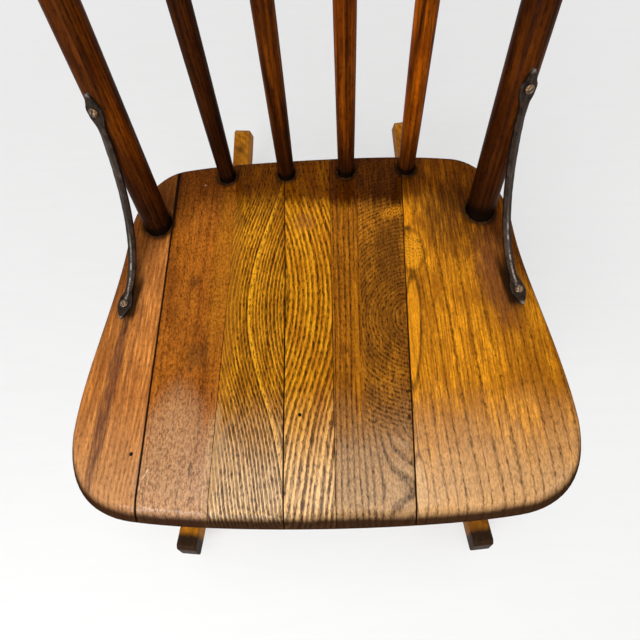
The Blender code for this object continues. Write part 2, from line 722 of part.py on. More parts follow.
def screw_mesh():
    """A round-headed screw: its head stands above Z = 0 and its shank runs down."""
    stations = [
        (-SCREW_LENGTH, SCREW_RADIUS * 0.3),
        (-SCREW_LENGTH + SCREW_RADIUS * 2, SCREW_RADIUS),
        (0.0, SCREW_RADIUS),
        (0.0, SCREW_HEAD_RADIUS),
        (SCREW_HEAD_HEIGHT * 0.55, SCREW_HEAD_RADIUS * 0.86),
        (SCREW_HEAD_HEIGHT, SCREW_HEAD_RADIUS * 0.42),
    ]
    return turned(stations, SCREW_SIDES)


def build_brace_screw(name, place, normal, targets, seat_frame):
    """A screw through a brace's pad into the wood behind it."""
    seat = place + normal * (BRACE_PAD_THICKNESS / 2 + FIT_GAP)
    frame = axis_frame(seat, seat + normal)
    screw = add_piece(name, screw_mesh(), "screw_brass", seat_frame, frame)
    cut_socket(targets, f"{name}_pilot", seat + normal * SCREW_HEAD_HEIGHT,
               seat - normal * (SCREW_LENGTH + SOCKET_END_GAP), SCREW_RADIUS, SCREW_SIDES, seat_frame)
    slot_half = Vector((SCREW_HEAD_RADIUS * 2, SCREW_SLOT_WIDTH / 2, SCREW_SLOT_DEPTH))

    def slot_place(u, v, w):
        return Vector((u * slot_half.x, v * slot_half.y, SCREW_HEAD_HEIGHT + w * slot_half.z))

    slot = add_object(f"{name}_slot", shape_box(([], [], []), slot_place), seat_frame, frame)
    combine(screw, slot, "DIFFERENCE")


def build_braces(boards, posts, seat_frame):
    """A bent iron brace on each side, screwed to the post and to the seat."""
    for name, side in SIDES.items():
        path = BracePath(side)
        brace = add_piece(f"brace_{name}", brace_mesh(path), "iron", seat_frame)
        build_brace_screw(f"brace_screw_{name}_post", path.top, path.post_normal, (brace, posts[name]),
                          seat_frame)
        carrying = boards_at(boards, *path.foot.xy, SCREW_RADIUS)
        build_brace_screw(f"brace_screw_{name}_seat", path.foot, path.seat_normal, (brace, *carrying),
                          seat_frame)


# Rockers, legs and stretchers


def rocker_frame(side):
    """The frame of one rocker: its origin is where it meets the floor and +Y runs back along it."""
    place = Matrix.Translation((side * ROCKER_HALF_TRACK, ROCKER_CONTACT_Y, 0))
    return place @ Matrix.Rotation(side * ROCKER_TOE, 4, "Z")


def rocker_angles():
    """Angles along the rocker's arc, with one flat facet where it meets the floor."""
    flat = ROCKER_FLAT / 2 / ROCKER_RADIUS
    front = math.asin(ROCKER_FRONT_REACH / ROCKER_RADIUS)
    rear = math.asin(ROCKER_REAR_REACH / ROCKER_RADIUS)
    nose = ROCKER_NOSE_LENGTH / ROCKER_RADIUS
    steps = ROCKER_FRONT_STEPS
    angles = [-front] + [mix(nose - front, -flat, step / steps) for step in range(steps + 1)]
    steps = ROCKER_REAR_STEPS
    return angles + [mix(flat, rear - nose, step / steps) for step in range(steps + 1)] + [rear]


def rocker_depth(angle):
    """Depth of the rocker's board, square to its arc, drawn in towards both ends."""
    reach = ROCKER_FRONT_REACH if angle < 0 else ROCKER_REAR_REACH
    share = abs(angle) * ROCKER_RADIUS / reach
    return mix(ROCKER_DEPTH, ROCKER_TIP_DEPTH, share ** 2)


def rocker_point(angle, depth):
    """A point of the rocker's profile, a depth up from its lower edge, in the rocker's own frame."""
    lowest = ROCKER_RADIUS * math.cos(ROCKER_FLAT / 2 / ROCKER_RADIUS)
    reach = ROCKER_RADIUS - depth
    return Vector((0, reach * math.sin(angle), lowest - reach * math.cos(angle)))


def rocker_mesh():
    """One rocker, with a rounded nose at each end."""
    angles = rocker_angles()
    last = len(angles) - 1

    def place(u, v, w):
        index = round((v + 1) / 2 * last)
        angle = angles[index]
        depth = ROCKER_NOSE_DEPTH if index in (0, last) else rocker_depth(angle)
        return rocker_point(angle, depth * (w + 1) / 2) + Vector((u * ROCKER_THICKNESS / 2, 0, 0))

    return shape_box(([], even_cuts(last), []), place)


def build_rockers():
    """The two rockers, closer together at the back."""
    rockers = {}
    for name, side in SIDES.items():
        piece = add_piece(f"rocker_{name}", rocker_mesh(), "rocker_wood", None, rocker_frame(side))
        bevel = piece.modifiers.new("eased_edges", "BEVEL")
        bevel.width = ROCKER_EDGE
        bevel.segments = 1
        bevel.limit_method = "ANGLE"
        bevel.angle_limit = SHARP_ANGLE
        rockers[name] = piece
    return rockers


def leg_ends(side, place):
    """A leg's foot on the rocker's upper edge and its head at the underside of the seat."""
    if place == "front":
        along = -FRONT_FOOT_AHEAD
        head = Vector((side * (SEAT_HIP - FRONT_LEG_FROM_HIP), FRONT_LEG_FROM_FRONT - SEAT_FRONT, 0))
    else:
        along = REAR_FOOT_BEHIND
        head = Vector((side * REAR_LEG_X, SEAT_REAR - REAR_LEG_FROM_REAR, 0))
    head.z = -SEAT_THICKNESS
    angle = along / ROCKER_RADIUS
    return rocker_frame(side) @ rocker_point(angle, rocker_depth(angle)), SEAT_FRAME @ head


def leg_point(side, place, height):
    """The point of a leg's axis at a height above the floor."""
    foot, head = leg_ends(side, place)
    return mix(foot, head, (height - foot.z) / (head.z - foot.z))


def leg_stations(length):
    """Height along a leg and radius: a plain swelled shaft for the stretchers, a ring and a vase above."""
    return [
        (-LEG_FOOT_TENON, LEG_FOOT_RADIUS),
        (LEG_FOOT_RADIUS * 0.6, LEG_FOOT_RADIUS),
        (length * 0.14, LEG_ANKLE_RADIUS),
        (length * 0.34, mix(LEG_ANKLE_RADIUS, LEG_SHAFT_RADIUS, 0.8)),
        (length * 0.52, LEG_SHAFT_RADIUS),
        (length * 0.67, mix(LEG_ANKLE_RADIUS, LEG_SHAFT_RADIUS, 0.6)),
        (length * 0.69, LEG_GROOVE_RADIUS),
        (length * 0.71, LEG_RING_RADIUS),
        (length * 0.74, LEG_RING_RADIUS),
        (length * 0.76, LEG_GROOVE_RADIUS),
        (length * 0.81, LEG_VASE_RADIUS),
        (length * 0.86, LEG_VASE_RADIUS),
        (length * 0.94, mix(LEG_HEAD_RADIUS, LEG_VASE_RADIUS, 0.3)),
        (length - LEG_HEAD_RADIUS * 0.5, LEG_HEAD_RADIUS),
        (length + LEG_HEAD_TENON, LEG_HEAD_RADIUS),
    ]


def build_legs(boards, rockers):
    """The four legs, each from a socket in a rocker to a socket in the seat, pegged at the rocker."""
    legs = {}
    for name, side in SIDES.items():
        for place in ("front", "rear"):
            foot, head = leg_ends(side, place)
            upwards = (head - foot).normalized()
            title = f"{place}_leg_{name}"
            leg = add_piece(title, turned(leg_stations((head - foot).length), LEG_SIDES), "turned_wood",
                            None, axis_frame(foot, head))
            head_in_seat = SEAT_FRAME.inverted() @ head
            carrying = boards_at(boards, *head_in_seat.xy, LEG_HEAD_RADIUS + FIT_GAP)
            cut_socket(carrying, f"{title}_seat_socket", head - upwards * LEG_HEAD_TENON,
                       head + upwards * (LEG_HEAD_TENON + SOCKET_END_GAP), LEG_HEAD_RADIUS, LEG_SIDES)
            cut_socket([rockers[name]], f"{title}_rocker_socket", foot + upwards * LEG_FOOT_TENON,
                       foot - upwards * (LEG_FOOT_TENON + SOCKET_END_GAP), LEG_FOOT_RADIUS, LEG_SIDES)
            build_foot_peg(title, side, foot - upwards * FOOT_PEG_DROP, (leg, rockers[name]))
            legs[name, place] = leg
    return legs


def build_foot_peg(title, side, middle, targets):
    """A peg through a rocker and the leg's foot tenon, flush with the rocker's sides."""
    across = rocker_frame(side).to_3x3() @ Vector((1, 0, 0))
    local = rocker_frame(side).inverted() @ middle
    centre = middle - across * local.x
    half = across * (ROCKER_THICKNESS / 2)
    stations = [(0.0, FOOT_PEG_RADIUS), (ROCKER_THICKNESS, FOOT_PEG_RADIUS)]
    add_piece(f"{title}_peg", turned(stations, PEG_SIDES), "peg_wood", None,
              axis_frame(centre - half, centre + half))
    cut_socket(targets, f"{title}_peg_hole", centre - half * 2, centre + half * 2, FOOT_PEG_RADIUS,
               PEG_SIDES)


def plain_stretcher(length):
    """Stations of a stretcher with a long even swell."""
    return [
        (0.0, STRETCHER_TENON_RADIUS),
        (STRETCHER_TAPER, STRETCHER_TENON_RADIUS),
        (length * 0.25, mix(STRETCHER_TENON_RADIUS, STRETCHER_SWELL_RADIUS, 0.75)),
        (length * 0.5, STRETCHER_SWELL_RADIUS),
        (length * 0.75, mix(STRETCHER_TENON_RADIUS, STRETCHER_SWELL_RADIUS, 0.75)),
        (length - STRETCHER_TAPER, STRETCHER_TENON_RADIUS),
        (length, STRETCHER_TENON_RADIUS),
    ]


def bulb_stretcher(length):
    """Stations of a front stretcher: a turned bulb between two waists."""
    half = FRONT_STRETCHER_BULB_LENGTH / 2
    middle = length / 2
    return [
        (0.0, STRETCHER_TENON_RADIUS),
        (STRETCHER_TAPER, STRETCHER_TENON_RADIUS),
        (mix(STRETCHER_TAPER, middle - half, 0.55), STRETCHER_SWELL_RADIUS),
        (middle - half, FRONT_STRETCHER_WAIST),
        (middle - half * 0.75, STRETCHER_SWELL_RADIUS),
        (middle - half * 0.35, mix(STRETCHER_SWELL_RADIUS, FRONT_STRETCHER_BULB, 0.8)),
        (middle, FRONT_STRETCHER_BULB),
        (middle + half * 0.35, mix(STRETCHER_SWELL_RADIUS, FRONT_STRETCHER_BULB, 0.8)),
        (middle + half * 0.75, STRETCHER_SWELL_RADIUS),
        (middle + half, FRONT_STRETCHER_WAIST),
        (mix(length - STRETCHER_TAPER, middle + half, 0.55), STRETCHER_SWELL_RADIUS),
        (length - STRETCHER_TAPER, STRETCHER_TENON_RADIUS),
        (length, STRETCHER_TENON_RADIUS),
    ]


def build_stretcher(name, start, end, legs, profile):
    """A stretcher between two points on leg axes, with a socket in each of the two legs."""
    along = (end - start).normalized()
    near = start + along * STRETCHER_SET_BACK
    far = end - along * STRETCHER_SET_BACK
    add_piece(name, turned(profile((far - near).length), STRETCHER_SIDES), "turned_wood", None,
              axis_frame(near, far))
    for leg, tip, inwards in ((legs[0], near, -along), (legs[1], far, along)):
        outside = tip - inwards * (LEG_RING_RADIUS + STRETCHER_TAPER)
        cut_socket([leg], f"{name}_socket_in_{leg.name}", outside, tip + inwards * SOCKET_END_GAP,
                   STRETCHER_TENON_RADIUS, STRETCHER_SIDES)


def build_stretchers(legs):
    """Two stretchers in front, two on each side and one behind."""
    levels = ("lower", "upper")
    for level, height in zip(levels, FRONT_STRETCHER_HEIGHTS):
        build_stretcher(f"front_stretcher_{level}", leg_point(-1, "front", height),
                        leg_point(1, "front", height), (legs["left", "front"], legs["right", "front"]),
                        bulb_stretcher)
    for name, side in SIDES.items():
        heights = zip(levels, SIDE_STRETCHER_FRONT_HEIGHTS, SIDE_STRETCHER_REAR_HEIGHTS)
        for level, front_height, rear_height in heights:
            build_stretcher(f"side_stretcher_{name}_{level}", leg_point(side, "front", front_height),
                            leg_point(side, "rear", rear_height),
                            (legs[name, "front"], legs[name, "rear"]), plain_stretcher)
    build_stretcher("rear_stretcher", leg_point(-1, "rear", REAR_STRETCHER_HEIGHT),
                    leg_point(1, "rear", REAR_STRETCHER_HEIGHT),
                    (legs["left", "rear"], legs["right", "rear"]), plain_stretcher)


def main():
    """Model the whole chair."""
    clear_scene()
    seat_frame = bpy.data.objects.new("seat_frame", None)
    bpy.context.scene.collection.objects.link(seat_frame)
    seat_frame.matrix_world = SEAT_FRAME
    boards = build_seat(seat_frame)
    build_dowels(boards, seat_frame)
    posts = build_posts(boards, seat_frame)
    crest = build_crest(posts, seat_frame)
    build_spindles(boards, crest, seat_frame)
    build_braces(boards, posts, seat_frame)
    rockers = build_rockers()
    legs = build_legs(boards, rockers)
    build_stretchers(legs)


main()
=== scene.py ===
"""Rocking chair in its finish: turned, sawn and pressed pieces, iron braces and old oiled wood.

Lengths are metres, +Z is up and the sitter faces -Y. The seat and the back are laid out in a seat frame:
its origin is on the seat's top face, +Y runs to the back along the seat and +Z stands square to it. Shader
groups work in millimetres, so that grain, pores and marks are written at their real size.
"""

import logging
import math
from collections.abc import Callable, Sequence
from dataclasses import asdict, dataclass, field
from enum import Enum
from functools import reduce

import bmesh
import bpy
import numpy as np
from mathutils import Matrix, Vector
from mathutils.geometry import interpolate_bezier


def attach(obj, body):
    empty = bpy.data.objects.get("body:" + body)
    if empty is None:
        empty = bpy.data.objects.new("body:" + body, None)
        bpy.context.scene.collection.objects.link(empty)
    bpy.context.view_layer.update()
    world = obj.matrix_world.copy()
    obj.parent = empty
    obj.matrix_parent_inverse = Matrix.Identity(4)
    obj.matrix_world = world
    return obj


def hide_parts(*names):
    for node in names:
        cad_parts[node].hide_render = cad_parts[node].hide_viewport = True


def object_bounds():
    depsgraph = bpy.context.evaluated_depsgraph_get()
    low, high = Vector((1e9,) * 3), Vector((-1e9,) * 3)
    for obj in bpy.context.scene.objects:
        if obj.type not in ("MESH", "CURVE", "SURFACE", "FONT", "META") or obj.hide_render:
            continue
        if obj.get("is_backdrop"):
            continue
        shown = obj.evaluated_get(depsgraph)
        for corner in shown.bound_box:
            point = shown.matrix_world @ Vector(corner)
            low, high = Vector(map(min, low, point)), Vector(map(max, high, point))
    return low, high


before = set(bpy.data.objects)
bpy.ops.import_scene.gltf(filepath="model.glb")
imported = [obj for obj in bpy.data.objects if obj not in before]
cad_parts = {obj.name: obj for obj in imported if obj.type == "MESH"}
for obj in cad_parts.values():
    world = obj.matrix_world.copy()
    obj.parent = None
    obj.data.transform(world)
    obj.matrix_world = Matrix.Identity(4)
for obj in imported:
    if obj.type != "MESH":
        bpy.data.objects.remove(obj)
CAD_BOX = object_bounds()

LOG = logging.getLogger("rocking_chair")

Colour = tuple[float, float, float]
Span = tuple[float, float]
Triple = tuple[float, float, float]
Counts = tuple[int, int, int]
Station = tuple[float, float]
Dab = tuple[float, float, float]
Socket = bpy.types.NodeSocket
Value = float | Socket
Outputs = bpy.types.NodeOutputs
Material = bpy.types.Material
Solid = bmesh.types.BMesh
Placing = Callable[[Vector], Vector]
Masks = dict[str, Callable[[Vector], float]]

BODY = "root"
GRAIN = "grain_at"
RELIEF = "relief"
RIDGE_HIGHLIGHT = "ridge"
THINNED_AND_LIT = "thinned"
FOOT_DIRT_AND_SHADE = "foot_dirt"
END_STAIN_AND_SHADE = "end_stain"
MERGE = 1e-6
SHARP = math.radians(38)
MILLIMETRES = 1000.0
SEAT_TILT = math.radians(3.5)
SEAT_FRAME = Matrix.Translation((0, -0.0265, 0.3616)) @ Matrix.Rotation(-SEAT_TILT, 4, "X")


class Slot(Enum):
    """Finish slots of the part's record."""

    SEAT = "seat_wood"
    TURNED = "turned_wood"
    ROCKER = "rocker_wood"
    PEG = "peg_wood"
    IRON = "iron"
    BRASS = "screw_brass"


class Side(Enum):
    """The two sides of the chair: the value is the sign of X."""

    LEFT = -1
    RIGHT = 1

    @property
    def label(self) -> str:
        """The side's name as the pieces spell it."""
        return self.name.lower()


class Place(Enum):
    """The two ends of a rocker at which a leg stands."""

    FRONT = "front"
    REAR = "rear"


def mix(start: float, end: float, share: float) -> float:
    """The value a share of the way from start to end."""
    return start + (end - start) * share


def eased(value: float, low: float, high: float) -> float:
    """0 below low, 1 above high and a smooth rise between them."""
    share = min(1.0, max(0.0, (value - low) / (high - low)))
    return share * share * (3 - 2 * share)


def steps(count: int) -> list[float]:
    """Even steps from 0 to 1."""
    return [part / (count - 1) for part in range(count)]


def axis_frame(start: Vector, end: Vector) -> Matrix:
    """A frame at start whose Z axis points at end."""
    return Matrix.Translation(start) @ (end - start).to_track_quat("Z", "Y").to_matrix().to_4x4()


# Mesh work


def put_in_scene(name: str, data: bpy.types.ID) -> bpy.types.Object:
    """Make an object of some data and link it into the scene."""
    item = bpy.data.objects.new(name, data)
    bpy.context.scene.collection.objects.link(item)
    return item


def smooth_profile(stations: Sequence[Station], step: float) -> list[Station]:
    """Draw a smooth turning curve that keeps to its stations and never swings past them.

    Args:
        stations: Height and radius pairs, in order. Two at one height make a sharp shoulder.
        step: Longest distance between neighbouring points.

    Returns:
        Height and radius pairs along the curve.
    """
    heights = [height for height, _ in stations]
    radii = [radius for _, radius in stations]
    slopes = []
    for near, far in zip(stations, stations[1:]):
        rise = far[0] - near[0]
        slopes.append((far[1] - near[1]) / rise if rise > MERGE else 0.0)
    tangents = [slopes[0]]
    for before, after in zip(slopes, slopes[1:]):
        tangents.append(0.0 if before * after <= 0 else 2 * before * after / (before + after))
    tangents.append(slopes[-1])
    curve = [stations[0]]
    for index in range(len(stations) - 1):
        rise = heights[index + 1] - heights[index]
        count = max(1, math.ceil(rise / step))
        for part in range(1, count + 1):
            t = part / count
            radius = ((2 * t ** 3 - 3 * t ** 2 + 1) * radii[index]
                      + (3 * t ** 2 - 2 * t ** 3) * radii[index + 1]
                      + (t ** 3 - 2 * t ** 2 + t) * rise * tangents[index]
                      + (t ** 3 - t ** 2) * rise * tangents[index + 1])
            curve.append((heights[index] + rise * t, radius))
    return curve


def turning(stations: Sequence[Station], sides: int, step: float = 0.003) -> Solid:
    """Spin a turning about Z.

    Args:
        stations: Height and radius pairs from the lower to the upper end.
        sides: Steps of the full spin.
        step: Longest distance between points of the profile.

    Returns:
        A closed bmesh that points outwards.
    """
    bm = bmesh.new()
    curve = smooth_profile(stations, step)
    outline = [(curve[0][0], 0.0), *curve, (curve[-1][0], 0.0)]
    verts = [bm.verts.new((radius, 0.0, height)) for height, radius in outline]
    edges = [bm.edges.new(pair) for pair in zip(verts, verts[1:])]
    bmesh.ops.spin(bm, geom=verts + edges, cent=(0, 0, 0), axis=(0, 0, 1), angle=math.tau,
                   steps=sides, use_merge=True)
    bmesh.ops.remove_doubles(bm, verts=bm.verts, dist=MERGE)
    bmesh.ops.recalc_face_normals(bm, faces=bm.faces)
    return bm


def lattice_box(counts: Counts) -> Solid:
    """A box from -1 to 1 each way, divided evenly into a number of steps along X, Y and Z."""
    bm = bmesh.new()
    bmesh.ops.create_cube(bm, size=2.0)
    for axis, count in enumerate(counts):
        if count < 2:
            continue
        along = [edge for edge in bm.edges if abs(edge.verts[0].co[axis] - edge.verts[1].co[axis]) > MERGE]
        bmesh.ops.subdivide_edges(bm, edges=along, cuts=count - 1, use_grid_fill=True)
    return bm


def shaped_box(counts: Counts, place: Placing) -> Solid:
    """A divided box whose points are moved to place(point), pointing outwards."""
    bm = lattice_box(counts)
    for vert in bm.verts:
        vert.co = place(vert.co)
    bmesh.ops.recalc_face_normals(bm, faces=bm.faces)
    return bm


def cut_by_plane(bm: Solid, point: Vector, normal: Vector, clear: bool = False) -> None:
    """Cut a bmesh along a plane, and clear what lies behind the plane where asked."""
    bmesh.ops.bisect_plane(bm, geom=bm.verts[:] + bm.edges[:] + bm.faces[:], dist=MERGE, plane_co=point,
                           plane_no=normal, clear_inner=clear)


def carved(bm: Solid, tools: Sequence[Solid]) -> Solid:
    """Cut closed tools out of a solid.

    Args:
        bm: The solid, which is used up.
        tools: Cutting shapes in the solid's frame, which are used up.

    Returns:
        The carved solid.
    """
    def stand_in(shape: Solid) -> bpy.types.Object:
        mesh = bpy.data.meshes.new("carving")
        shape.to_mesh(mesh)
        shape.free()
        return put_in_scene("carving", mesh)

    solid = stand_in(bm)
    cutters = [stand_in(tool) for tool in tools]
    for cutter in cutters:
        boolean = solid.modifiers.new("cut", "BOOLEAN")
        boolean.operation = "DIFFERENCE"
        boolean.solver = "EXACT"
        boolean.object = cutter
    result = bmesh.new()
    result.from_object(solid, bpy.context.evaluated_depsgraph_get())
    for item in (solid, *cutters):
        mesh = item.data
        bpy.data.objects.remove(item)
        bpy.data.meshes.remove(mesh)
    return result


def write_relief(bm: Solid, rounds: int = 2) -> None:
    """Keep on each point how far it stands proud of its neighbours: edges above 0, hollows below."""
    layer = bm.verts.layers.float.new(RELIEF)
    bm.normal_update()
    for vert in bm.verts:
        others = [edge.other_vert(vert).co for edge in vert.link_edges]
        if others:
            middle = sum(others, Vector()) / len(others)
            reach = sum((other - vert.co).length for other in others) / len(others)
            vert[layer] = (vert.co - middle).dot(vert.normal) / max(reach, MERGE)
    for _ in range(rounds):
        means = []
        for vert in bm.verts:
            near = [edge.other_vert(vert)[layer] for edge in vert.link_edges]
            means.append((vert[layer] + sum(near)) / (1 + len(near)))
        for vert, mean in zip(bm.verts, means):
            vert[layer] = mean


@dataclass(frozen=True)
class Piece:
    """A finished piece: its name, the CAD nodes that it stands for and its finish slot."""

    name: str
    nodes: tuple[str, ...]
    slot: Slot

    def hand_over(self, bm: Solid, place: Matrix, material: Material, grain: Placing,
                  masks: Masks | None = None) -> None:
        """Put a bmesh into the scene as this piece.

        Args:
            bm: The piece in its own frame, which is used up.
            place: The matrix from the piece's frame to the chair's.
            material: The piece's finish.
            grain: Gives the place in the timber of a point in the piece's frame, with +Y along the grain.
            masks: Values from 0 to 1 that the finish reads on the points, by name.
        """
        write_relief(bm)
        for title, mask in (masks or {}).items():
            shares = bm.verts.layers.float.new(title)
            for vert in bm.verts:
                vert[shares] = mask(vert.co)
        layer = bm.verts.layers.float_vector.new(GRAIN)
        for vert in bm.verts:
            vert[layer] = grain(vert.co)
        bmesh.ops.transform(bm, matrix=place, verts=bm.verts)
        mesh = bpy.data.meshes.new(self.name)
        bm.to_mesh(mesh)
        bm.free()
        mesh.shade_smooth()
        mesh.set_sharp_from_angle(angle=SHARP)
        mesh.materials.append(material)
        item = put_in_scene(self.name, mesh)
        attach(item, BODY)
        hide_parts(*self.nodes)
        LOG.info("%s: %d faces", self.name, len(mesh.polygons))


def finished(name: str, slot: Slot) -> Piece:
    """The finished piece that stands for one CAD node."""
    return Piece(f"finished_{name}", (name,), slot)


def round_grain(seed: int) -> Placing:
    """The timber of a turned piece: its axis along the grain, cut from its own place in the log."""
    offset = Vector((0.030 + 0.011 * (seed % 5), 0.83 * seed, 0.024 + 0.007 * (seed % 3)))

    def grain(point: Vector) -> Vector:
        return Vector((point.x, point.z, point.y)) + offset

    return grain


# Shader work


class NodeSheet:
    """A node tree with short ways to add and join its nodes."""

    def __init__(self, tree: bpy.types.NodeTree) -> None:
        """Work on an existing tree."""
        self.tree = tree

    def add(self, kind: str, inputs: dict | None = None, **settings: object) -> bpy.types.Node:
        """Add a node.

        Args:
            kind: The node's type name.
            inputs: Values or sockets by input name or index.
            settings: The node's own properties.

        Returns:
            The node.
        """
        node = self.tree.nodes.new(kind)
        for key, value in settings.items():
            setattr(node, key, value)
        self.fill(node, inputs or {})
        return node

    def feed(self, socket: Socket, value: object) -> None:
        """Link a socket into an input, or set the input to a plain value."""
        if isinstance(value, Socket):
            self.tree.links.new(value, socket)
        else:
            socket.default_value = (*value, 1.0) if socket.type == "RGBA" else value

    def fill(self, node: bpy.types.Node, inputs: dict) -> None:
        """Feed several inputs of a node, by name or index."""
        for key, value in inputs.items():
            self.feed(node.inputs[key], value)

    def math(self, operation: str, *values: Value) -> Socket:
        """One arithmetic step."""
        return self.add("ShaderNodeMath", dict(enumerate(values)), operation=operation).outputs[0]

    def total(self, *values: Value) -> Socket:
        """The sum of several values."""
        return reduce(lambda whole, value: self.math("ADD", whole, value), values)

    def most(self, *values: Value) -> Socket:
        """The largest of several values."""
        return reduce(lambda most, value: self.math("MAXIMUM", most, value), values)

    def times(self, first: Value, second: Value) -> Socket:
        """The product of two values."""
        return self.math("MULTIPLY", first, second)

    def less(self, first: Value, second: Value) -> Socket:
        """What the first value has more than the second."""
        return self.math("SUBTRACT", first, second)

    def over(self, first: Value, second: Value) -> Socket:
        """The first value divided by the second."""
        return self.math("DIVIDE", first, second)

    def rest(self, share: Value) -> Socket:
        """What a share leaves of 1."""
        return self.math("SUBTRACT", 1.0, share)

    def scaled(self, value: Value, factor: Value, base: Value) -> Socket:
        """A value times a factor, on top of a base."""
        return self.math("MULTIPLY_ADD", value, factor, base)

    def squares(self, *values: Value) -> Socket:
        """The sum of the squares of several values."""
        return self.total(*(self.times(value, value) for value in values))

    def rise(self, value: Value, low: float, high: float) -> Socket:
        """0 at low, 1 at high and a smooth step between, whichever of the two is larger."""
        node = self.add("ShaderNodeMapRange", {"Value": value, "From Min": low, "From Max": high},
                        interpolation_type="SMOOTHSTEP")
        return node.outputs["Result"]

    def span(self, value: Value, low: float, high: float) -> Socket:
        """Spread a value from 0-1 over low to high."""
        node = self.add("ShaderNodeMapRange", {"Value": value, "To Min": low, "To Max": high})
        return node.outputs["Result"]

    def stretch(self, place: Socket, factors: Triple) -> Socket:
        """Scale a place by its own factor along each axis."""
        return self.add("ShaderNodeVectorMath", {0: place, 1: factors}, operation="MULTIPLY").outputs[0]

    def noise(self, place: Socket, factors: Triple, detail: float = 2.0, roughness: float = 0.5) -> Socket:
        """Smooth noise about 0.5, with its own number of waves per millimetre along each axis."""
        inputs = {"Vector": self.stretch(place, factors), "Scale": 1.0, "Detail": detail,
                  "Roughness": roughness}
        return self.add("ShaderNodeTexNoise", inputs).outputs[0]

    def wander(self, place: Socket, factors: Triple, detail: float = 2.0, roughness: float = 0.5) -> Socket:
        """Smooth noise about 0."""
        return self.less(self.noise(place, factors, detail, roughness), 0.5)

    def blend(self, share: Value, first: object, second: object, mode: str = "MIX") -> Socket:
        """Mix two colours."""
        return self.add("ShaderNodeMix", {0: share, 6: first, 7: second}, data_type="RGBA",
                        blend_type=mode).outputs[2]

    def split(self, place: Socket) -> tuple[Socket, ...]:
        """The three parts of a place."""
        return tuple(self.add("ShaderNodeSeparateXYZ", {0: place}).outputs)

    def use(self, group: bpy.types.NodeTree, inputs: dict) -> Outputs:
        """Place a shader group with its own values, for what it gives."""
        return self.add("ShaderNodeGroup", inputs, node_tree=group).outputs

    def kept(self, name: str) -> bpy.types.Node:
        """What a piece keeps on its points under a name."""
        return self.add("ShaderNodeAttribute", attribute_name=name)

    def share(self, name: str) -> Socket:
        """A share from 0 to 1 that a piece keeps on its points."""
        return self.kept(name).outputs["Fac"]

    def timber_place(self) -> Socket:
        """The place in the timber, in millimetres."""
        return self.stretch(self.kept(GRAIN).outputs["Vector"], (MILLIMETRES,) * 3)

    def own_place(self) -> Socket:
        """The place in the piece's own frame, in millimetres."""
        return self.stretch(self.add("ShaderNodeTexCoord").outputs["Object"], (MILLIMETRES,) * 3)

    def seen(self) -> Socket:
        """1 where the camera looks, straight on or by a reflection, and 0 for the light that spreads."""
        rays = self.add("ShaderNodeLightPath").outputs
        return self.most(rays["Is Camera Ray"], rays["Is Glossy Ray"], rays["Is Transmission Ray"])


class EffectGroup:
    """A shader group under construction, with named inputs and outputs."""

    SOCKETS = {"value": "NodeSocketFloat", "place": "NodeSocketVector", "colour": "NodeSocketColor"}

    def __init__(self, name: str, inputs: dict[str, str], outputs: dict[str, str]) -> None:
        """Make the empty group.

        Args:
            name: The group's name.
            inputs: Kind of each input: value, place or colour.
            outputs: Kind of each output.
        """
        self.tree = bpy.data.node_groups.new(name, "ShaderNodeTree")
        for way, sockets in (("INPUT", inputs), ("OUTPUT", outputs)):
            for title, kind in sockets.items():
                self.tree.interface.new_socket(title, in_out=way, socket_type=self.SOCKETS[kind])
        self.sheet = NodeSheet(self.tree)
        self.given = self.sheet.add("NodeGroupInput").outputs
        self.result = self.sheet.add("NodeGroupOutput").inputs

    def give(self, title: str, value: Socket) -> None:
        """Join a value to one of the group's outputs."""
        self.sheet.feed(self.result[title], value)


@dataclass(frozen=True)
class Figure:
    """How the growth rings of one piece of timber meet its face, in millimetres."""

    centre_x: float = -400.0
    centre_y: float = -85.0
    depth: float = 40.0
    aspect: float = 0.0
    bow: float = 0.0
    drift: float = 0.0
    spacing: float = 5.0
    early: float = 0.42
    fray: float = 1.0
    warp: float = 6.0
    seed: float = 0.0
    accent: float = -50.0
    accent_width: float = 1.0
    knot_x: float = 0.0
    knot_y: float = 900.0
    knot_size: float = 10.0
    knot_push: float = 0.0

    def inputs(self) -> dict[str, float]:
        """The figure as the timber group's inputs."""
        return {name.replace("_", " ").title(): value for name, value in asdict(self).items()}


@dataclass(frozen=True)
class Pattern:
    """Noise drawn from 0 to 1 between two levels, with its waves per millimetre along each axis."""

    waves: Triple
    detail: float
    roughness: float
    low: float
    high: float

    def over(self, sheet: NodeSheet, place: Socket) -> Socket:
        """Lay the pattern over places in millimetres."""
        return sheet.rise(sheet.noise(place, self.waves, self.detail, self.roughness), self.low, self.high)


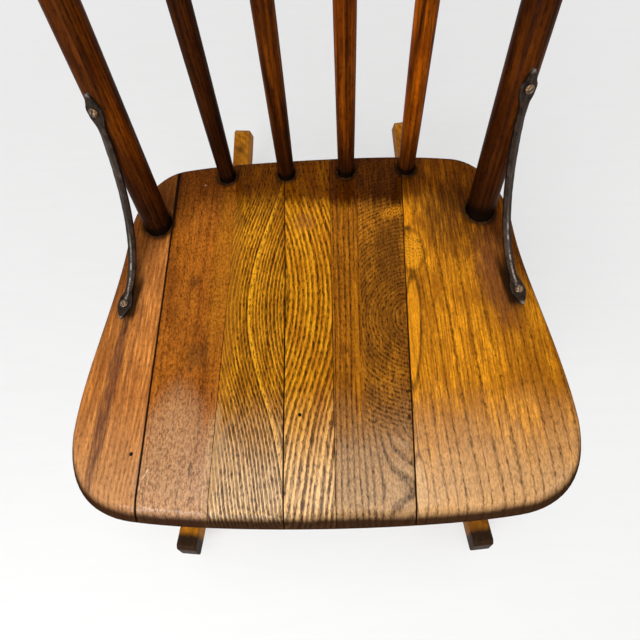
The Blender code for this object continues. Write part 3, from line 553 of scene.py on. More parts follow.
@dataclass(frozen=True)
class Timber:
    """Growth rings, pores and tone of ring-porous timber, in millimetres."""

    seed_shift: float = 170.0
    slow_waves: Triple = (0.016, 0.0045, 0.016)
    fine_waves: Triple = (0.11, 0.022, 0.11)
    fine_swing: float = 1.5
    fray_waves: Triple = (0.42, 0.20, 0.42)
    bow_straight: Span = (0.28, 84.0)
    bow_ease: float = 40.0
    knot_stretch: float = 1.5
    accent_core: float = 0.45
    year_scale: float = 0.055
    year_swing: float = 1.7
    band_start: float = 0.14
    band_end: Span = (0.20, 0.10)
    pores: Pattern = Pattern((0.45, 0.085, 0.45), 2.0, 0.55, 0.36, 0.58)
    broken_least: float = 0.58
    year_least: float = 0.74
    dots: Pattern = Pattern((0.50, 0.19, 0.50), 1.5, 0.5, 0.53, 0.64)
    dashes: Pattern = Pattern((0.60, 0.085, 0.60), 1.0, 0.5, 0.57, 0.68)
    fleck_least: float = 0.35
    streak: Pattern = Pattern((0.20, 0.006, 0.20), 2.0, 0.55, 0.28, 0.72)
    mottle: Pattern = Pattern((0.13, 0.035, 0.13), 3.0, 0.62, 0.34, 0.66)
    tone_parts: Triple = (0.22, 0.38, 0.40)
    cloud: Pattern = Pattern((0.020, 0.011, 0.020), 3.0, 0.6, 0.30, 0.70)
    fibre: Pattern = Pattern((0.62, 0.028, 0.62), 2.0, 0.6, 0.38, 0.64)
    speckle: Pattern = Pattern((0.62, 0.30, 0.62), 5.0, 0.82, 0.42, 0.62)

    def group(self) -> bpy.types.NodeTree:
        """The timber as a shader group, as it runs over a sawn or turned face."""
        outputs = ("Line", "Fleck", "Tone", "Cloud", "Fibre", "Speckle", "Accent")
        group = EffectGroup("timber", {"Place": "place"} | dict.fromkeys(Figure().inputs(), "value"),
                            dict.fromkeys(outputs, "value"))
        sheet, given = group.sheet, group.given
        seeded = sheet.add("ShaderNodeCombineXYZ", {2: sheet.times(given["Seed"], self.seed_shift)})
        place = sheet.add("ShaderNodeVectorMath", {0: given["Place"], 1: seeded.outputs[0]},
                          operation="ADD").outputs[0]
        ring = self.ring(sheet, given, place)
        beside = sheet.math("ABSOLUTE", sheet.less(ring, given["Accent"]))
        group.give("Accent", sheet.rise(sheet.over(beside, given["Accent Width"]), 1.0, self.accent_core))
        year = sheet.add("ShaderNodeCombineXYZ", {0: sheet.times(ring, self.year_scale), 1: given["Seed"]})
        thick = sheet.wander(year.outputs[0], (1.0, 1.0, 1.0), 1.0)
        frayed = sheet.scaled(sheet.wander(place, self.fray_waves, 1.0), given["Fray"], ring)
        phase = sheet.scaled(thick, self.year_swing, sheet.over(frayed, given["Spacing"]))
        saw = sheet.math("FRACT", phase)
        count = sheet.total(sheet.math("FLOOR", phase), given["Seed"])
        chance = sheet.add("ShaderNodeTexWhiteNoise", {"W": count}, noise_dimensions="1D").outputs[0]
        after, before = self.band_end
        fading = sheet.rise(saw, sheet.total(given["Early"], after), sheet.less(given["Early"], before))
        band = sheet.times(sheet.rise(saw, 0.0, self.band_start), fading)
        broken = sheet.times(band, sheet.span(self.pores.over(sheet, place), self.broken_least, 1.0))
        group.give("Line", sheet.times(broken, sheet.span(chance, self.year_least, 1.0)))
        flecks = sheet.most(self.dots.over(sheet, place), self.dashes.over(sheet, place))
        group.give("Fleck", sheet.times(flecks, sheet.span(band, self.fleck_least, 1.0)))
        tones = (chance, self.streak.over(sheet, place), self.mottle.over(sheet, place))
        group.give("Tone", sheet.total(*(sheet.times(*pair) for pair in zip(tones, self.tone_parts))))
        for title, pattern in (("Cloud", self.cloud), ("Fibre", self.fibre), ("Speckle", self.speckle)):
            group.give(title, pattern.over(sheet, place))
        return group.tree

    def ring(self, sheet: NodeSheet, given: Outputs, place: Socket) -> Socket:
        """How far out from the heart of the log each place lies, bent by slow waves and by a knot."""
        x, y, z = sheet.split(given["Place"])
        along = sheet.less(y, given["Centre Y"])
        across = sheet.less(sheet.less(x, given["Centre X"]), sheet.times(given["Drift"], along))
        across = sheet.scaled(sheet.wander(place, self.slow_waves, 1.0), given["Warp"], across)
        lengthwise = sheet.times(given["Aspect"], along)
        level = sheet.total(z, given["Depth"])
        heart = sheet.math("SQRT", sheet.squares(across, lengthwise, level))
        reach = sheet.math("ABSOLUTE", along)
        reach = sheet.math("SMOOTH_MIN", reach, sheet.scaled(reach, *self.bow_straight), self.bow_ease)
        bowed = sheet.times(given["Bow"], sheet.times(reach, reach))
        fine = sheet.times(sheet.wander(place, self.fine_waves, 2.0), self.fine_swing)
        knot_x = sheet.over(sheet.less(x, given["Knot X"]), given["Knot Size"])
        knot_length = sheet.times(given["Knot Size"], self.knot_stretch)
        knot_y = sheet.over(sheet.less(y, given["Knot Y"]), knot_length)
        knot = sheet.math("EXPONENT", sheet.times(sheet.squares(knot_x, knot_y), -1.0))
        return sheet.scaled(knot, given["Knot Push"], sheet.total(heart, bowed, fine))


@dataclass(frozen=True)
class Ageing:
    """Edges lightened by rubbing and by painted highlight, dirt in the hollows, and the uneven shine of an
    old hand-rubbed finish.
    """

    patch_waves: Triple = (0.06, 0.05, 0.06)
    rubbed_swing: float = 0.22
    rubbed_from: Span = (0.05, 0.24)
    dirt_swing: float = 0.10
    dirt_from: Span = (-0.02, -0.16)
    dirt_dulls: float = 0.25
    smear_waves: Triple = (0.035, 0.018, 0.035)
    smear_swing: float = 0.26
    smear_height: float = 0.35
    scratches: Pattern = Pattern((0.9, 0.03, 0.9), 1.0, 0.5, 0.62, 0.70)
    scratch_dulls: float = 0.06

    def group(self) -> bpy.types.NodeTree:
        """The wear and the painted edge highlight as a shader group over a colour."""
        colours = dict.fromkeys(("Colour", "Rubbed", "Dirt"), "colour")
        values = dict.fromkeys(("Relief", "Wear", "Grime", "Roughness"), "value")
        group = EffectGroup("ageing", {"Place": "place"} | colours | values,
                            {"Colour": "colour", "Roughness": "value", "Height": "value"})
        sheet, given = group.sheet, group.given
        patchy = sheet.wander(given["Place"], self.patch_waves, 3.0, 0.65)
        proud = sheet.scaled(patchy, self.rubbed_swing, given["Relief"])
        # Proud edges are lightened for wear and as a painted highlight.
        rubbed = sheet.times(sheet.rise(proud, *self.rubbed_from), given["Wear"])
        sunk = sheet.scaled(patchy, self.dirt_swing, given["Relief"])
        dirty = sheet.times(sheet.rise(sunk, *self.dirt_from), given["Grime"])
        colour = sheet.blend(rubbed, given["Colour"], given["Rubbed"])
        group.give("Colour", sheet.blend(dirty, colour, given["Dirt"]))
        smear = sheet.noise(given["Place"], self.smear_waves, 4.0, 0.7)
        scratch = self.scratches.over(sheet, given["Place"])
        uneven = sheet.scaled(sheet.less(smear, 0.5), self.smear_swing, given["Roughness"])
        uneven = sheet.scaled(scratch, self.scratch_dulls, uneven)
        group.give("Roughness", sheet.scaled(dirty, self.dirt_dulls, uneven))
        group.give("Height", sheet.less(sheet.times(smear, self.smear_height), scratch))
        return group.tree


@dataclass(frozen=True)
class SeatZones:
    """Where the seat is stained dark, dirty, painted with shade and painted with sheen, in millimetres of the
    seat frame.
    """

    flank: float = 172.0
    flank_drop: float = 62.0
    rear_wander: float = 42.0
    flank_wander: float = 40.0
    flank_edge: Span = (150.0, 205.0)
    flank_reach: Span = (-230.0, -60.0)
    flank_share: Span = (0.05, 0.34)
    front_wander: float = 34.0
    front_edge: Span = (-150.0, -262.0)
    post: Triple = (170.5, 24.5, 14.6)
    spindle_x: Span = (33.0, 99.0)
    spindle_y: float = 84.0
    spindle_radius: float = 8.8
    socket_wander: float = 6.0
    socket_dirt: Span = (7.0, 0.6)
    brace_x: float = 191.0
    brace_y: float = -70.0
    brace_toe: float = -0.125
    brace_inner: float = 4.5
    brace_shade: Span = (8.5, 3.5)
    brace_front: Span = (-92.0, -80.0)
    brace_rear: Span = (-20.0, -52.0)
    edge_wander: float = 2.0
    edge: Span = (-0.9, -5.2)
    under: Span = (-25.0, -31.0)

    def group(self) -> bpy.types.NodeTree:
        """The masks as a shader group: the dark rim (stain and painted shade), the front (painted sheen and
        more gloss), dirt and painted shade at the sockets and beside the braces, the edge (stain and painted
        shade) and the underside.
        """
        rim = dict.fromkeys(("Rim Edge", "Rim Soft", "Rim Share"), "value")
        group = EffectGroup("seat_zones", {"Place": "place"} | rim,
                            dict.fromkeys(("Rim", "Front", "Grime", "Edge", "Under"), "value"))
        sheet, given = group.sheet, group.given
        x, y, z = sheet.split(given["Place"])
        wide = sheet.math("ABSOLUTE", x)
        wander = sheet.wander(given["Place"], (0.035, 0.03, 0.035), 3.0, 0.6)
        streaky = sheet.wander(given["Place"], (0.20, 0.020, 0.20), 3.0, 0.6)
        # The dark rim along the rear and the flanks stands for stain and painted shade.
        u = sheet.over(wide, self.flank)
        behind = sheet.less(y, given["Rim Edge"])
        behind = sheet.scaled(sheet.math("POWER", u, 4.0), self.flank_drop, behind)
        behind = sheet.scaled(streaky, self.rear_wander, behind)
        rear = sheet.rise(sheet.over(behind, given["Rim Soft"]), -1.0, 1.0)
        rear = sheet.times(rear, given["Rim Share"])
        flanks = sheet.rise(sheet.scaled(wander, self.flank_wander, wide), *self.flank_edge)
        flanks = sheet.times(flanks, sheet.span(sheet.rise(y, *self.flank_reach), *self.flank_share))
        group.give("Rim", sheet.most(rear, flanks))
        # The front mask carries the painted sheen and the higher gloss.
        group.give("Front", sheet.rise(sheet.scaled(wander, self.front_wander, y), *self.front_edge))
        # Dirt and painted shade in a ring round each socket, and a painted shadow beside each brace near its
        # seat pad.
        nearest = self.gap(sheet, wide, y, *self.post)
        for spindle in self.spindle_x:
            nearest = sheet.math("MINIMUM", nearest,
                                 self.gap(sheet, wide, y, spindle, self.spindle_y, self.spindle_radius))
        sockets = sheet.rise(sheet.scaled(wander, self.socket_wander, nearest), *self.socket_dirt)
        ahead = sheet.less(y, self.brace_y)
        beside = sheet.less(wide, sheet.scaled(ahead, self.brace_toe, self.brace_x))
        shade = sheet.rise(sheet.math("ABSOLUTE", sheet.total(beside, self.brace_inner)), *self.brace_shade)
        for ends in (self.brace_front, self.brace_rear):
            shade = sheet.times(shade, sheet.rise(y, *ends))
        group.give("Grime", sheet.most(sockets, shade))
        # The eased edge all round is painted dark for stain and shade.
        group.give("Edge", sheet.rise(sheet.scaled(wander, self.edge_wander, z), *self.edge))
        # Darker towards the underside.
        group.give("Under", sheet.rise(z, *self.under))
        return group.tree

    @staticmethod
    def gap(sheet: NodeSheet, wide: Value, y: Value, centre_x: float, centre_y: float,
            radius: float) -> Socket:
        """Distance from the wall of a round socket and of its twin on the other side."""
        across = sheet.less(wide, centre_x)
        along = sheet.less(y, centre_y)
        return sheet.less(sheet.math("SQRT", sheet.squares(across, along)), radius)


# Finishes


@dataclass(frozen=True)
class Tones:
    """Colours of a stained timber: the light wood, the deeper wood and the pores."""

    pale: Colour
    deep: Colour
    pore: Colour
    line_share: float = 0.8
    fleck_share: float = 0.4
    fibre_share: float = 0.35
    band_depth: float = 0.24
    speckle_share: float = 0.45
    # Colour of the sheen painted over the front of the seat.
    sheen: Colour = (0.80, 0.50, 0.22)


@dataclass(frozen=True)
class Rim:
    """The dark rim along the rear of one board, stain and painted shade together: edge and softness in
    millimetres, and strength.
    """

    edge: float
    soft: float
    share: float


@dataclass(frozen=True)
class Mark:
    """A mark on a board, in millimetres of the seat frame, rippled or outlined where the grain swirls."""

    x: float
    y: float
    half_width: float
    half_length: float
    colour: Colour
    share: float
    lean: float = 0.0
    soft: float = 0.85
    ripple: float = 0.0
    ripple_lean: float = 0.55
    ripple_bend: float = 13.0
    outline: float = 0.0
    ragged: float = 1.5


@dataclass(frozen=True)
class FigureChange:
    """A second run of timber in a board: left of a line and towards the front, in millimetres."""

    figure: Figure
    tones: Tones
    at_rear: float
    at_front: float
    front: float
    soft: float = 8.0
    ragged: float = 40.0


class Finishes:
    """The chair's materials, over shader groups that are built once."""

    TONE_PART, CLOUD_PART = 0.62, 0.38
    TONE_EDGES: Span = (0.18, 0.82)
    ACCENT_SHARE, ACCENT_GAIN = 0.85, 1.12
    RIM_HIDES = 0.72
    # Share of the sheen painted over the front of the seat.
    GLARE_SHARE = 0.84
    SPECK: Colour = (0.38, 0.31, 0.27)
    # The rim's colour, stain and painted shade together.
    RIM_STAIN: Colour = (0.23, 0.162, 0.06)
    # The edge's colour, stain and painted shade together.
    EDGE_STAIN: Colour = (0.022, 0.0085, 0.0044)
    EDGE_SHARE = 0.97
    # Darker brown towards the underside.
    UNDER_STAIN: Colour = (0.13, 0.062, 0.026)
    UNDER_SHARE = 0.85
    # One dark colour for the joints' dirt and for the dirt and painted shade at the sockets and beside the
    # braces.
    JOINT_DIRT: Colour = (0.010, 0.005, 0.0025)
    SOCKET_SHARE = 0.93
    SWIRL_LINE: Colour = (0.075, 0.026, 0.004)
    SPOT_SIZE = 5.0
    MARK_WAVES: Triple = (0.28, 0.05, 0.28)
    MARK_STREAKS = Pattern((0.55, 0.045, 0.55), 2.0, 0.6, 0.34, 0.62)
    CHANGE_WAVES: Triple = (0.16, 0.03, 0.16)
    RUB_STREAKS = Pattern((0.14, 0.008, 0.14), 3.0, 0.6, 0.30, 0.66)
    STAIN_EDGE = Pattern((0.16, 0.05, 0.16), 3.0, 0.6, 0.30, 0.70)

    def __init__(self) -> None:
        """Build the shared groups."""
        self.timber = Timber().group()
        self.ageing = Ageing().group()
        self.zones = SeatZones().group()

    @staticmethod
    def blank(name: str) -> tuple[Material, NodeSheet, bpy.types.Node]:
        """Start a material.

        Args:
            name: The material's name.

        Returns:
            The material, its node sheet and its Principled shader.
        """
        material = bpy.data.materials.new(name)
        material.use_nodes = True
        return material, NodeSheet(material.node_tree), material.node_tree.nodes["Principled BSDF"]

    def wood(self, sheet: NodeSheet, place: Socket, figure: Figure, tones: Tones,
             glare: Socket | None = None, rim: Value = 0.0) -> tuple[Socket, Outputs]:
        """Colour a timber by its figure.

        Args:
            sheet: The material's nodes.
            place: Place in the timber, in millimetres.
            figure: How the rings lie.
            tones: The timber's colours.
            glare: Where a pale sheen is painted between the pores, standing for glare on the worn front.
            rim: Where the dark rim, stain and painted shade together, hides the growth lines.

        Returns:
            The colour, and what the timber group gives.
        """
        timber = sheet.use(self.timber, {"Place": place} | figure.inputs())
        share = sheet.total(sheet.times(timber["Tone"], self.TONE_PART),
                            sheet.times(timber["Cloud"], self.CLOUD_PART))
        colour = sheet.blend(sheet.rise(share, *self.TONE_EDGES), tones.pale, tones.deep)
        fibres = sheet.times(timber["Fibre"], tones.fibre_share)
        colour = sheet.blend(fibres, colour, tones.deep)
        accent = sheet.times(timber["Accent"], self.ACCENT_SHARE)
        bright = tuple(min(1.0, self.ACCENT_GAIN * part) for part in tones.pale)
        colour = sheet.blend(accent, colour, bright)
        # Painted sheen where the glare falls on the worn front.
        if glare is not None:
            colour = sheet.blend(glare, colour, tones.sheen)
        lines = sheet.times(timber["Line"], tones.line_share)
        lines = sheet.times(lines, sheet.rest(accent))
        lines = sheet.times(lines, sheet.scaled(rim, -self.RIM_HIDES, 1.0))
        colour = sheet.blend(lines, colour, tuple(tones.band_depth * part for part in tones.deep))
        flecks = sheet.times(timber["Fleck"], tones.fleck_share)
        return sheet.blend(flecks, colour, tones.pore), timber

    def aged(self, sheet: NodeSheet, place: Socket, colour: Socket, values: dict) -> Outputs:
        """Put the ageing group over a colour."""
        given = {"Place": place, "Relief": sheet.share(RELIEF), "Colour": colour}
        return sheet.use(self.ageing, given | values)

    @staticmethod
    def join(sheet: NodeSheet, shader: bpy.types.Node, aged: Outputs, height: Socket, distance: float,
             settings: dict) -> None:
        """Feed the aged colour, its shine, a fine bump and a finish's own settings into the shader."""
        bump = sheet.add("ShaderNodeBump", {"Strength": 0.6, "Distance": distance, "Height": height})
        sheet.fill(shader, {"Base Color": aged["Colour"], "Roughness": aged["Roughness"],
                            "Normal": bump.outputs[0]} | settings)

    def board(self, name: str, figure: Figure, tones: Tones, rim: Rim, joints: Sequence["BoardJoint"],
              marks: Sequence[Mark], change: FigureChange | None) -> Material:
        """The finish of one seat board.

        Args:
            name: The material's name.
            figure: How the board's rings lie.
            tones: The board's colours.
            rim: The dark rim at its rear, stain and painted shade together.
            joints: The joints along the board's edges.
            marks: Marks on its top.
            change: A second run of timber in the board.

        Returns:
            The material.
        """
        material, sheet, shader = self.blank(name)
        place = sheet.timber_place()
        x, y, _ = sheet.split(place)
        zones = sheet.use(self.zones, {"Place": place, "Rim Edge": rim.edge, "Rim Soft": rim.soft,
                                       "Rim Share": rim.share})
        front = zones["Front"]
        # A pale sheen is painted over the front, standing for glare on the worn finish.
        glare = sheet.times(front, self.GLARE_SHARE)
        colour, timber = self.wood(sheet, place, figure, tones, glare, zones["Rim"])
        line, fleck = timber["Line"], timber["Fleck"]
        if change is not None:
            other, second = self.wood(sheet, place, change.figure, change.tones, glare, zones["Rim"])
            slope = (change.at_rear - change.at_front) / (Seat.rear + Seat.front) / MILLIMETRES
            border = sheet.scaled(y, slope, change.at_rear - slope * Seat.rear * MILLIMETRES)
            ragged = sheet.wander(place, self.CHANGE_WAVES, 3.0, 0.6)
            ahead = sheet.rise(sheet.scaled(ragged, change.ragged, y), change.front + change.soft,
                               change.front - change.soft)
            share = sheet.most(sheet.rise(sheet.less(x, border), 0.5, -0.5), ahead)
            colour = sheet.blend(share, colour, other)
            line = sheet.most(sheet.times(line, sheet.rest(share)), sheet.times(second["Line"], share))
        for mark in marks:
            colour = self.marked(sheet, x, y, place, mark, colour)
        specks = sheet.times(timber["Speckle"], tones.speckle_share)
        colour = sheet.blend(specks, colour, self.SPECK, "MULTIPLY")
        # The rim is painted dark for stain and shade.
        colour = sheet.blend(zones["Rim"], colour, self.RIM_STAIN, "MULTIPLY")
        # The edges are painted dark for stain and shade.
        colour = sheet.blend(sheet.times(zones["Edge"], self.EDGE_SHARE), colour, self.EDGE_STAIN)
        # The underside is painted darker brown.
        colour = sheet.blend(sheet.times(zones["Under"], self.UNDER_SHARE), colour, self.UNDER_STAIN)
        # Dirt and painted shade at the sockets and beside the braces, and dirt along the joints.
        dirt = sheet.times(zones["Grime"], self.SOCKET_SHARE)
        for joint in joints:
            dirt = sheet.most(dirt, joint.dirt(sheet, x, y))
        colour = sheet.blend(dirt, colour, self.JOINT_DIRT)
        aged = self.aged(sheet, place, colour, {
            "Rubbed": (0.42, 0.18, 0.050), "Dirt": (0.02, 0.009, 0.004), "Wear": 0.12, "Grime": 0.7,
            "Roughness": sheet.span(front, 0.52, 0.40)})
        pits = sheet.total(sheet.times(line, -1.3), sheet.times(fleck, -0.8))
        height = sheet.total(aged["Height"], sheet.times(pits, sheet.span(front, 1.0, 1.9)))
        covered = sheet.most(dirt, zones["Edge"], zones["Under"])
        gloss = sheet.times(sheet.span(front, 0.06, 0.36), sheet.rest(covered))
        self.join(sheet, shader, aged, height, 0.00026,
                  {"Coat Weight": gloss, "Coat Roughness": 0.18, "Specular IOR Level": 0.0})
        return material

    def marked(self, sheet: NodeSheet, x: Value, y: Value, place: Socket, mark: Mark,
               colour: Socket) -> Socket:
        """Lay one mark with a ragged edge over a board's colour.

        Args:
            sheet: The material's nodes.
            x: Place across the seat.
            y: Place along the seat.
            place: Place in the timber.
            mark: The mark.
            colour: The board's colour below the mark.

        Returns:
            The colour with the mark.
        """
        along = sheet.less(y, mark.y)
        across = sheet.less(sheet.less(x, mark.x), sheet.times(along, mark.lean))
        across = sheet.over(across, mark.half_width)
        along = sheet.over(along, mark.half_length)
        ragged = sheet.wander(place, self.MARK_WAVES, 2.0, 0.6)
        far = sheet.scaled(ragged, mark.ragged * mark.soft, sheet.squares(across, along))
        share = sheet.times(sheet.rise(far, 1.0, 1.0 - mark.soft), mark.share)
        if mark.half_length > self.SPOT_SIZE:
            streaks = self.MARK_STREAKS.over(sheet, place)
            share = sheet.times(share, sheet.span(streaks, 1.0 - mark.ragged / 3.0, 1.0))
        if mark.ripple:
            bent = sheet.scaled(x, mark.ripple_lean, y)
            bent = sheet.scaled(ragged, mark.ripple_bend, bent)
            wave = sheet.math("SINE", sheet.times(bent, math.tau / mark.ripple))
            share = sheet.times(share, sheet.rise(wave, -1.0, 0.1))
        if mark.outline:
            ridge = sheet.times(sheet.rise(far, 0.80, 1.05), sheet.rise(far, 1.60, 1.15))
            colour = sheet.blend(sheet.times(ridge, mark.outline), colour, self.SWIRL_LINE)
        return sheet.blend(share, colour, mark.colour)

    def turned(self) -> Material:
        """Dark red-brown stain on the turned pieces and the crest, redder where it is worn thin and where
        light is painted on, and dark at the feet for dirt and painted shade.
        """
        material, sheet, shader = self.blank("turned_wood")
        place = sheet.timber_place()
        figure = Figure(centre_x=0.0, centre_y=0.0, depth=0.0, spacing=3.4, early=0.5, warp=9.0, seed=3.0)
        dark = Tones((0.034, 0.0090, 0.0022), (0.011, 0.0032, 0.0011), (0.004, 0.0016, 0.0008), 0.45, 0.45)
        thin_and_lit = Tones((0.54, 0.124, 0.0022), (0.230, 0.046, 0.0014), (0.020, 0.006, 0.0010), 0.45, 0.45)
        colour, timber = self.wood(sheet, place, figure, dark)
        warm, _ = self.wood(sheet, place, figure, thin_and_lit)
        streaks = self.RUB_STREAKS.over(sheet, place)
        # Warmer where the stain is worn thin and where light is painted on; dark at the feet for dirt and
        # painted shade.
        thinned = sheet.times(sheet.share(THINNED_AND_LIT), sheet.span(streaks, 0.15, 1.35))
        colour = sheet.blend(thinned, colour, warm)
        colour = sheet.blend(sheet.share(FOOT_DIRT_AND_SHADE), colour, (0.004, 0.0022, 0.0014))
        aged = self.aged(sheet, place, colour, {
            "Rubbed": (0.12, 0.038, 0.009), "Dirt": (0.006, 0.003, 0.002), "Wear": 0.65, "Grime": 0.95,
            "Roughness": 0.36})
        height = sheet.total(aged["Height"], sheet.times(timber["Line"], -0.9),
                             sheet.times(timber["Fleck"], -0.9))
        self.join(sheet, shader, aged, height, 0.00012, {"Specular IOR Level": 0.018})
        return material

    def rocker(self) -> Material:
        """Golden orange wood of the rockers, painted dark on their noses for stain and shade, with a dark
        smudge near their rear ends.
        """
        material, sheet, shader = self.blank("rocker_wood")
        place = sheet.timber_place()
        figure = Figure(centre_x=-60.0, centre_y=0.0, depth=70.0, spacing=4.2, warp=14.0, seed=6.0)
        tones = Tones((0.58, 0.215, 0.012), (0.30, 0.096, 0.006), (0.060, 0.020, 0.003), 0.30, 0.5)
        colour, timber = self.wood(sheet, place, figure, tones)
        # The noses are painted dark for stain and shade; a smudge stains the rear ends.
        ragged = sheet.span(self.STAIN_EDGE.over(sheet, place), 0.96, 1.30)
        stain_and_shade = sheet.math("MINIMUM", sheet.times(sheet.share(END_STAIN_AND_SHADE), ragged), 0.98)
        colour = sheet.blend(stain_and_shade, colour, (0.020, 0.011, 0.006))
        aged = self.aged(sheet, place, colour, {
            "Rubbed": (0.50, 0.24, 0.060), "Dirt": (0.03, 0.014, 0.006), "Grime": 0.7, "Roughness": 0.50,
            "Wear": sheet.times(sheet.rest(stain_and_shade), 0.45)})
        height = sheet.total(aged["Height"], sheet.times(timber["Line"], -1.2),
                             sheet.times(timber["Fleck"], -0.8))
        self.join(sheet, shader, aged, height, 0.00018, {"Specular IOR Level": 0.03})
        return material

    def peg(self) -> Material:
        """Pale end grain of the pegs, pins and dowels."""
        material, sheet, shader = self.blank("peg_wood")
        place = sheet.own_place()
        specks = sheet.noise(place, (1.1, 1.1, 1.1), 3.0, 0.7)
        cloud = sheet.noise(place, (0.12, 0.12, 0.12), 2.0)
        colour = sheet.blend(sheet.rise(cloud, 0.3, 0.7), (0.36, 0.19, 0.075), (0.20, 0.095, 0.035))
        colour = sheet.blend(sheet.rise(specks, 0.56, 0.66), colour, (0.05, 0.022, 0.010))
        bump = sheet.add("ShaderNodeBump", {"Strength": 0.5, "Distance": 0.0002, "Height": specks})
        sheet.fill(shader, {"Base Color": colour, "Roughness": sheet.span(specks, 0.5, 0.8),
                            "Normal": bump.outputs[0]})
        return material

    def iron(self) -> Material:
        """Blackened wrought iron with an oily shine, a painted highlight along its ridge, and edges lightened
        by wear and painted highlight.
        """
        material, sheet, shader = self.blank("iron")
        place = sheet.own_place()
        scale = sheet.noise(place, (0.16, 0.16, 0.16), 4.0, 0.65)
        pits = sheet.noise(place, (0.75, 0.75, 0.75), 2.0, 0.6)
        colour = sheet.blend(sheet.rise(scale, 0.34, 0.68), (0.009, 0.0062, 0.0046), (0.034, 0.0215, 0.0145))
        rust = sheet.times(sheet.rise(pits, 0.56, 0.70), 0.7)
        colour = sheet.blend(rust, colour, (0.075, 0.030, 0.014))
        # Painted highlight along the top of the bar, broken by the scale.
        rubbed = sheet.times(sheet.share(RIDGE_HIGHLIGHT), sheet.span(sheet.rise(scale, 0.58, 0.40), 0.08, 0.95))
        colour = sheet.blend(rubbed, colour, (0.40, 0.335, 0.275))
        aged = self.aged(sheet, place, colour, {
            "Rubbed": (0.26, 0.23, 0.20), "Dirt": (0.004, 0.0035, 0.003), "Wear": 0.6, "Grime": 0.6,
            "Roughness": 0.34})
        height = sheet.total(sheet.times(scale, 2.0), sheet.times(pits, 0.8))
        self.join(sheet, shader, aged, height, 0.00028,
                  {"Metallic": 0.40, "Coat Weight": 0.045, "Coat Roughness": 0.16,
                   "Specular IOR Level": 0.06})
        return material

    def brass(self) -> Material:
        """Coppery brass of the screws, dark in the slots, and scuffed lighter on the heads, also as a painted
        highlight.
        """
        material, sheet, shader = self.blank("screw_brass")
        place = sheet.own_place()
        tarnish = sheet.noise(place, (0.55, 0.55, 0.55), 3.0, 0.65)
        colour = sheet.blend(sheet.rise(tarnish, 0.35, 0.68), (0.185, 0.108, 0.058), (0.052, 0.027, 0.014))
        # The slot floors are painted dark.
        colour = sheet.blend(sheet.share(FOOT_DIRT_AND_SHADE), colour, (0.005, 0.0035, 0.0025))
        aged = self.aged(sheet, place, colour, {
            "Rubbed": (0.50, 0.38, 0.25), "Dirt": (0.006, 0.004, 0.003), "Wear": 0.40, "Grime": 1.0,
            "Roughness": 0.34})
        self.join(sheet, shader, aged, tarnish, 0.0002, {"Metallic": 1.0})
        return material


# Seat


@dataclass(frozen=True)
class BoardJoint:
    """A glued joint between two boards, from the rear of the seat to its front."""

    at_rear: float
    at_front: float
    gap: float
    easing: float
    dirt_width: float
    rear_share: float = 0.4
    rear_spread: float = 1.0
    dirt_core: float = 0.35
    spread_from: Span = (-10.0, 60.0)
    share_from: Span = (20.0, -130.0)

    def x(self, share: float) -> float:
        """Where the joint runs, a share of the way from rear to front."""
        return mix(self.at_rear, self.at_front, share)

    def dirt(self, sheet: NodeSheet, x: Value, y: Value) -> Socket:
        """Dirt beside the joint, over places in millimetres."""
        slope = (self.at_rear - self.at_front) / (Seat.rear + Seat.front)
        middle = (self.at_rear - slope * Seat.rear) * MILLIMETRES
        line = sheet.scaled(y, slope, middle)
        far = sheet.math("ABSOLUTE", sheet.less(x, line))
        far = sheet.over(far, sheet.span(sheet.rise(y, *self.spread_from), 1.0, self.rear_spread))
        width = self.dirt_width * MILLIMETRES
        dirty = sheet.rise(far, width, width * self.dirt_core)
        return sheet.times(dirty, sheet.span(sheet.rise(y, *self.share_from), self.rear_share, 1.0))


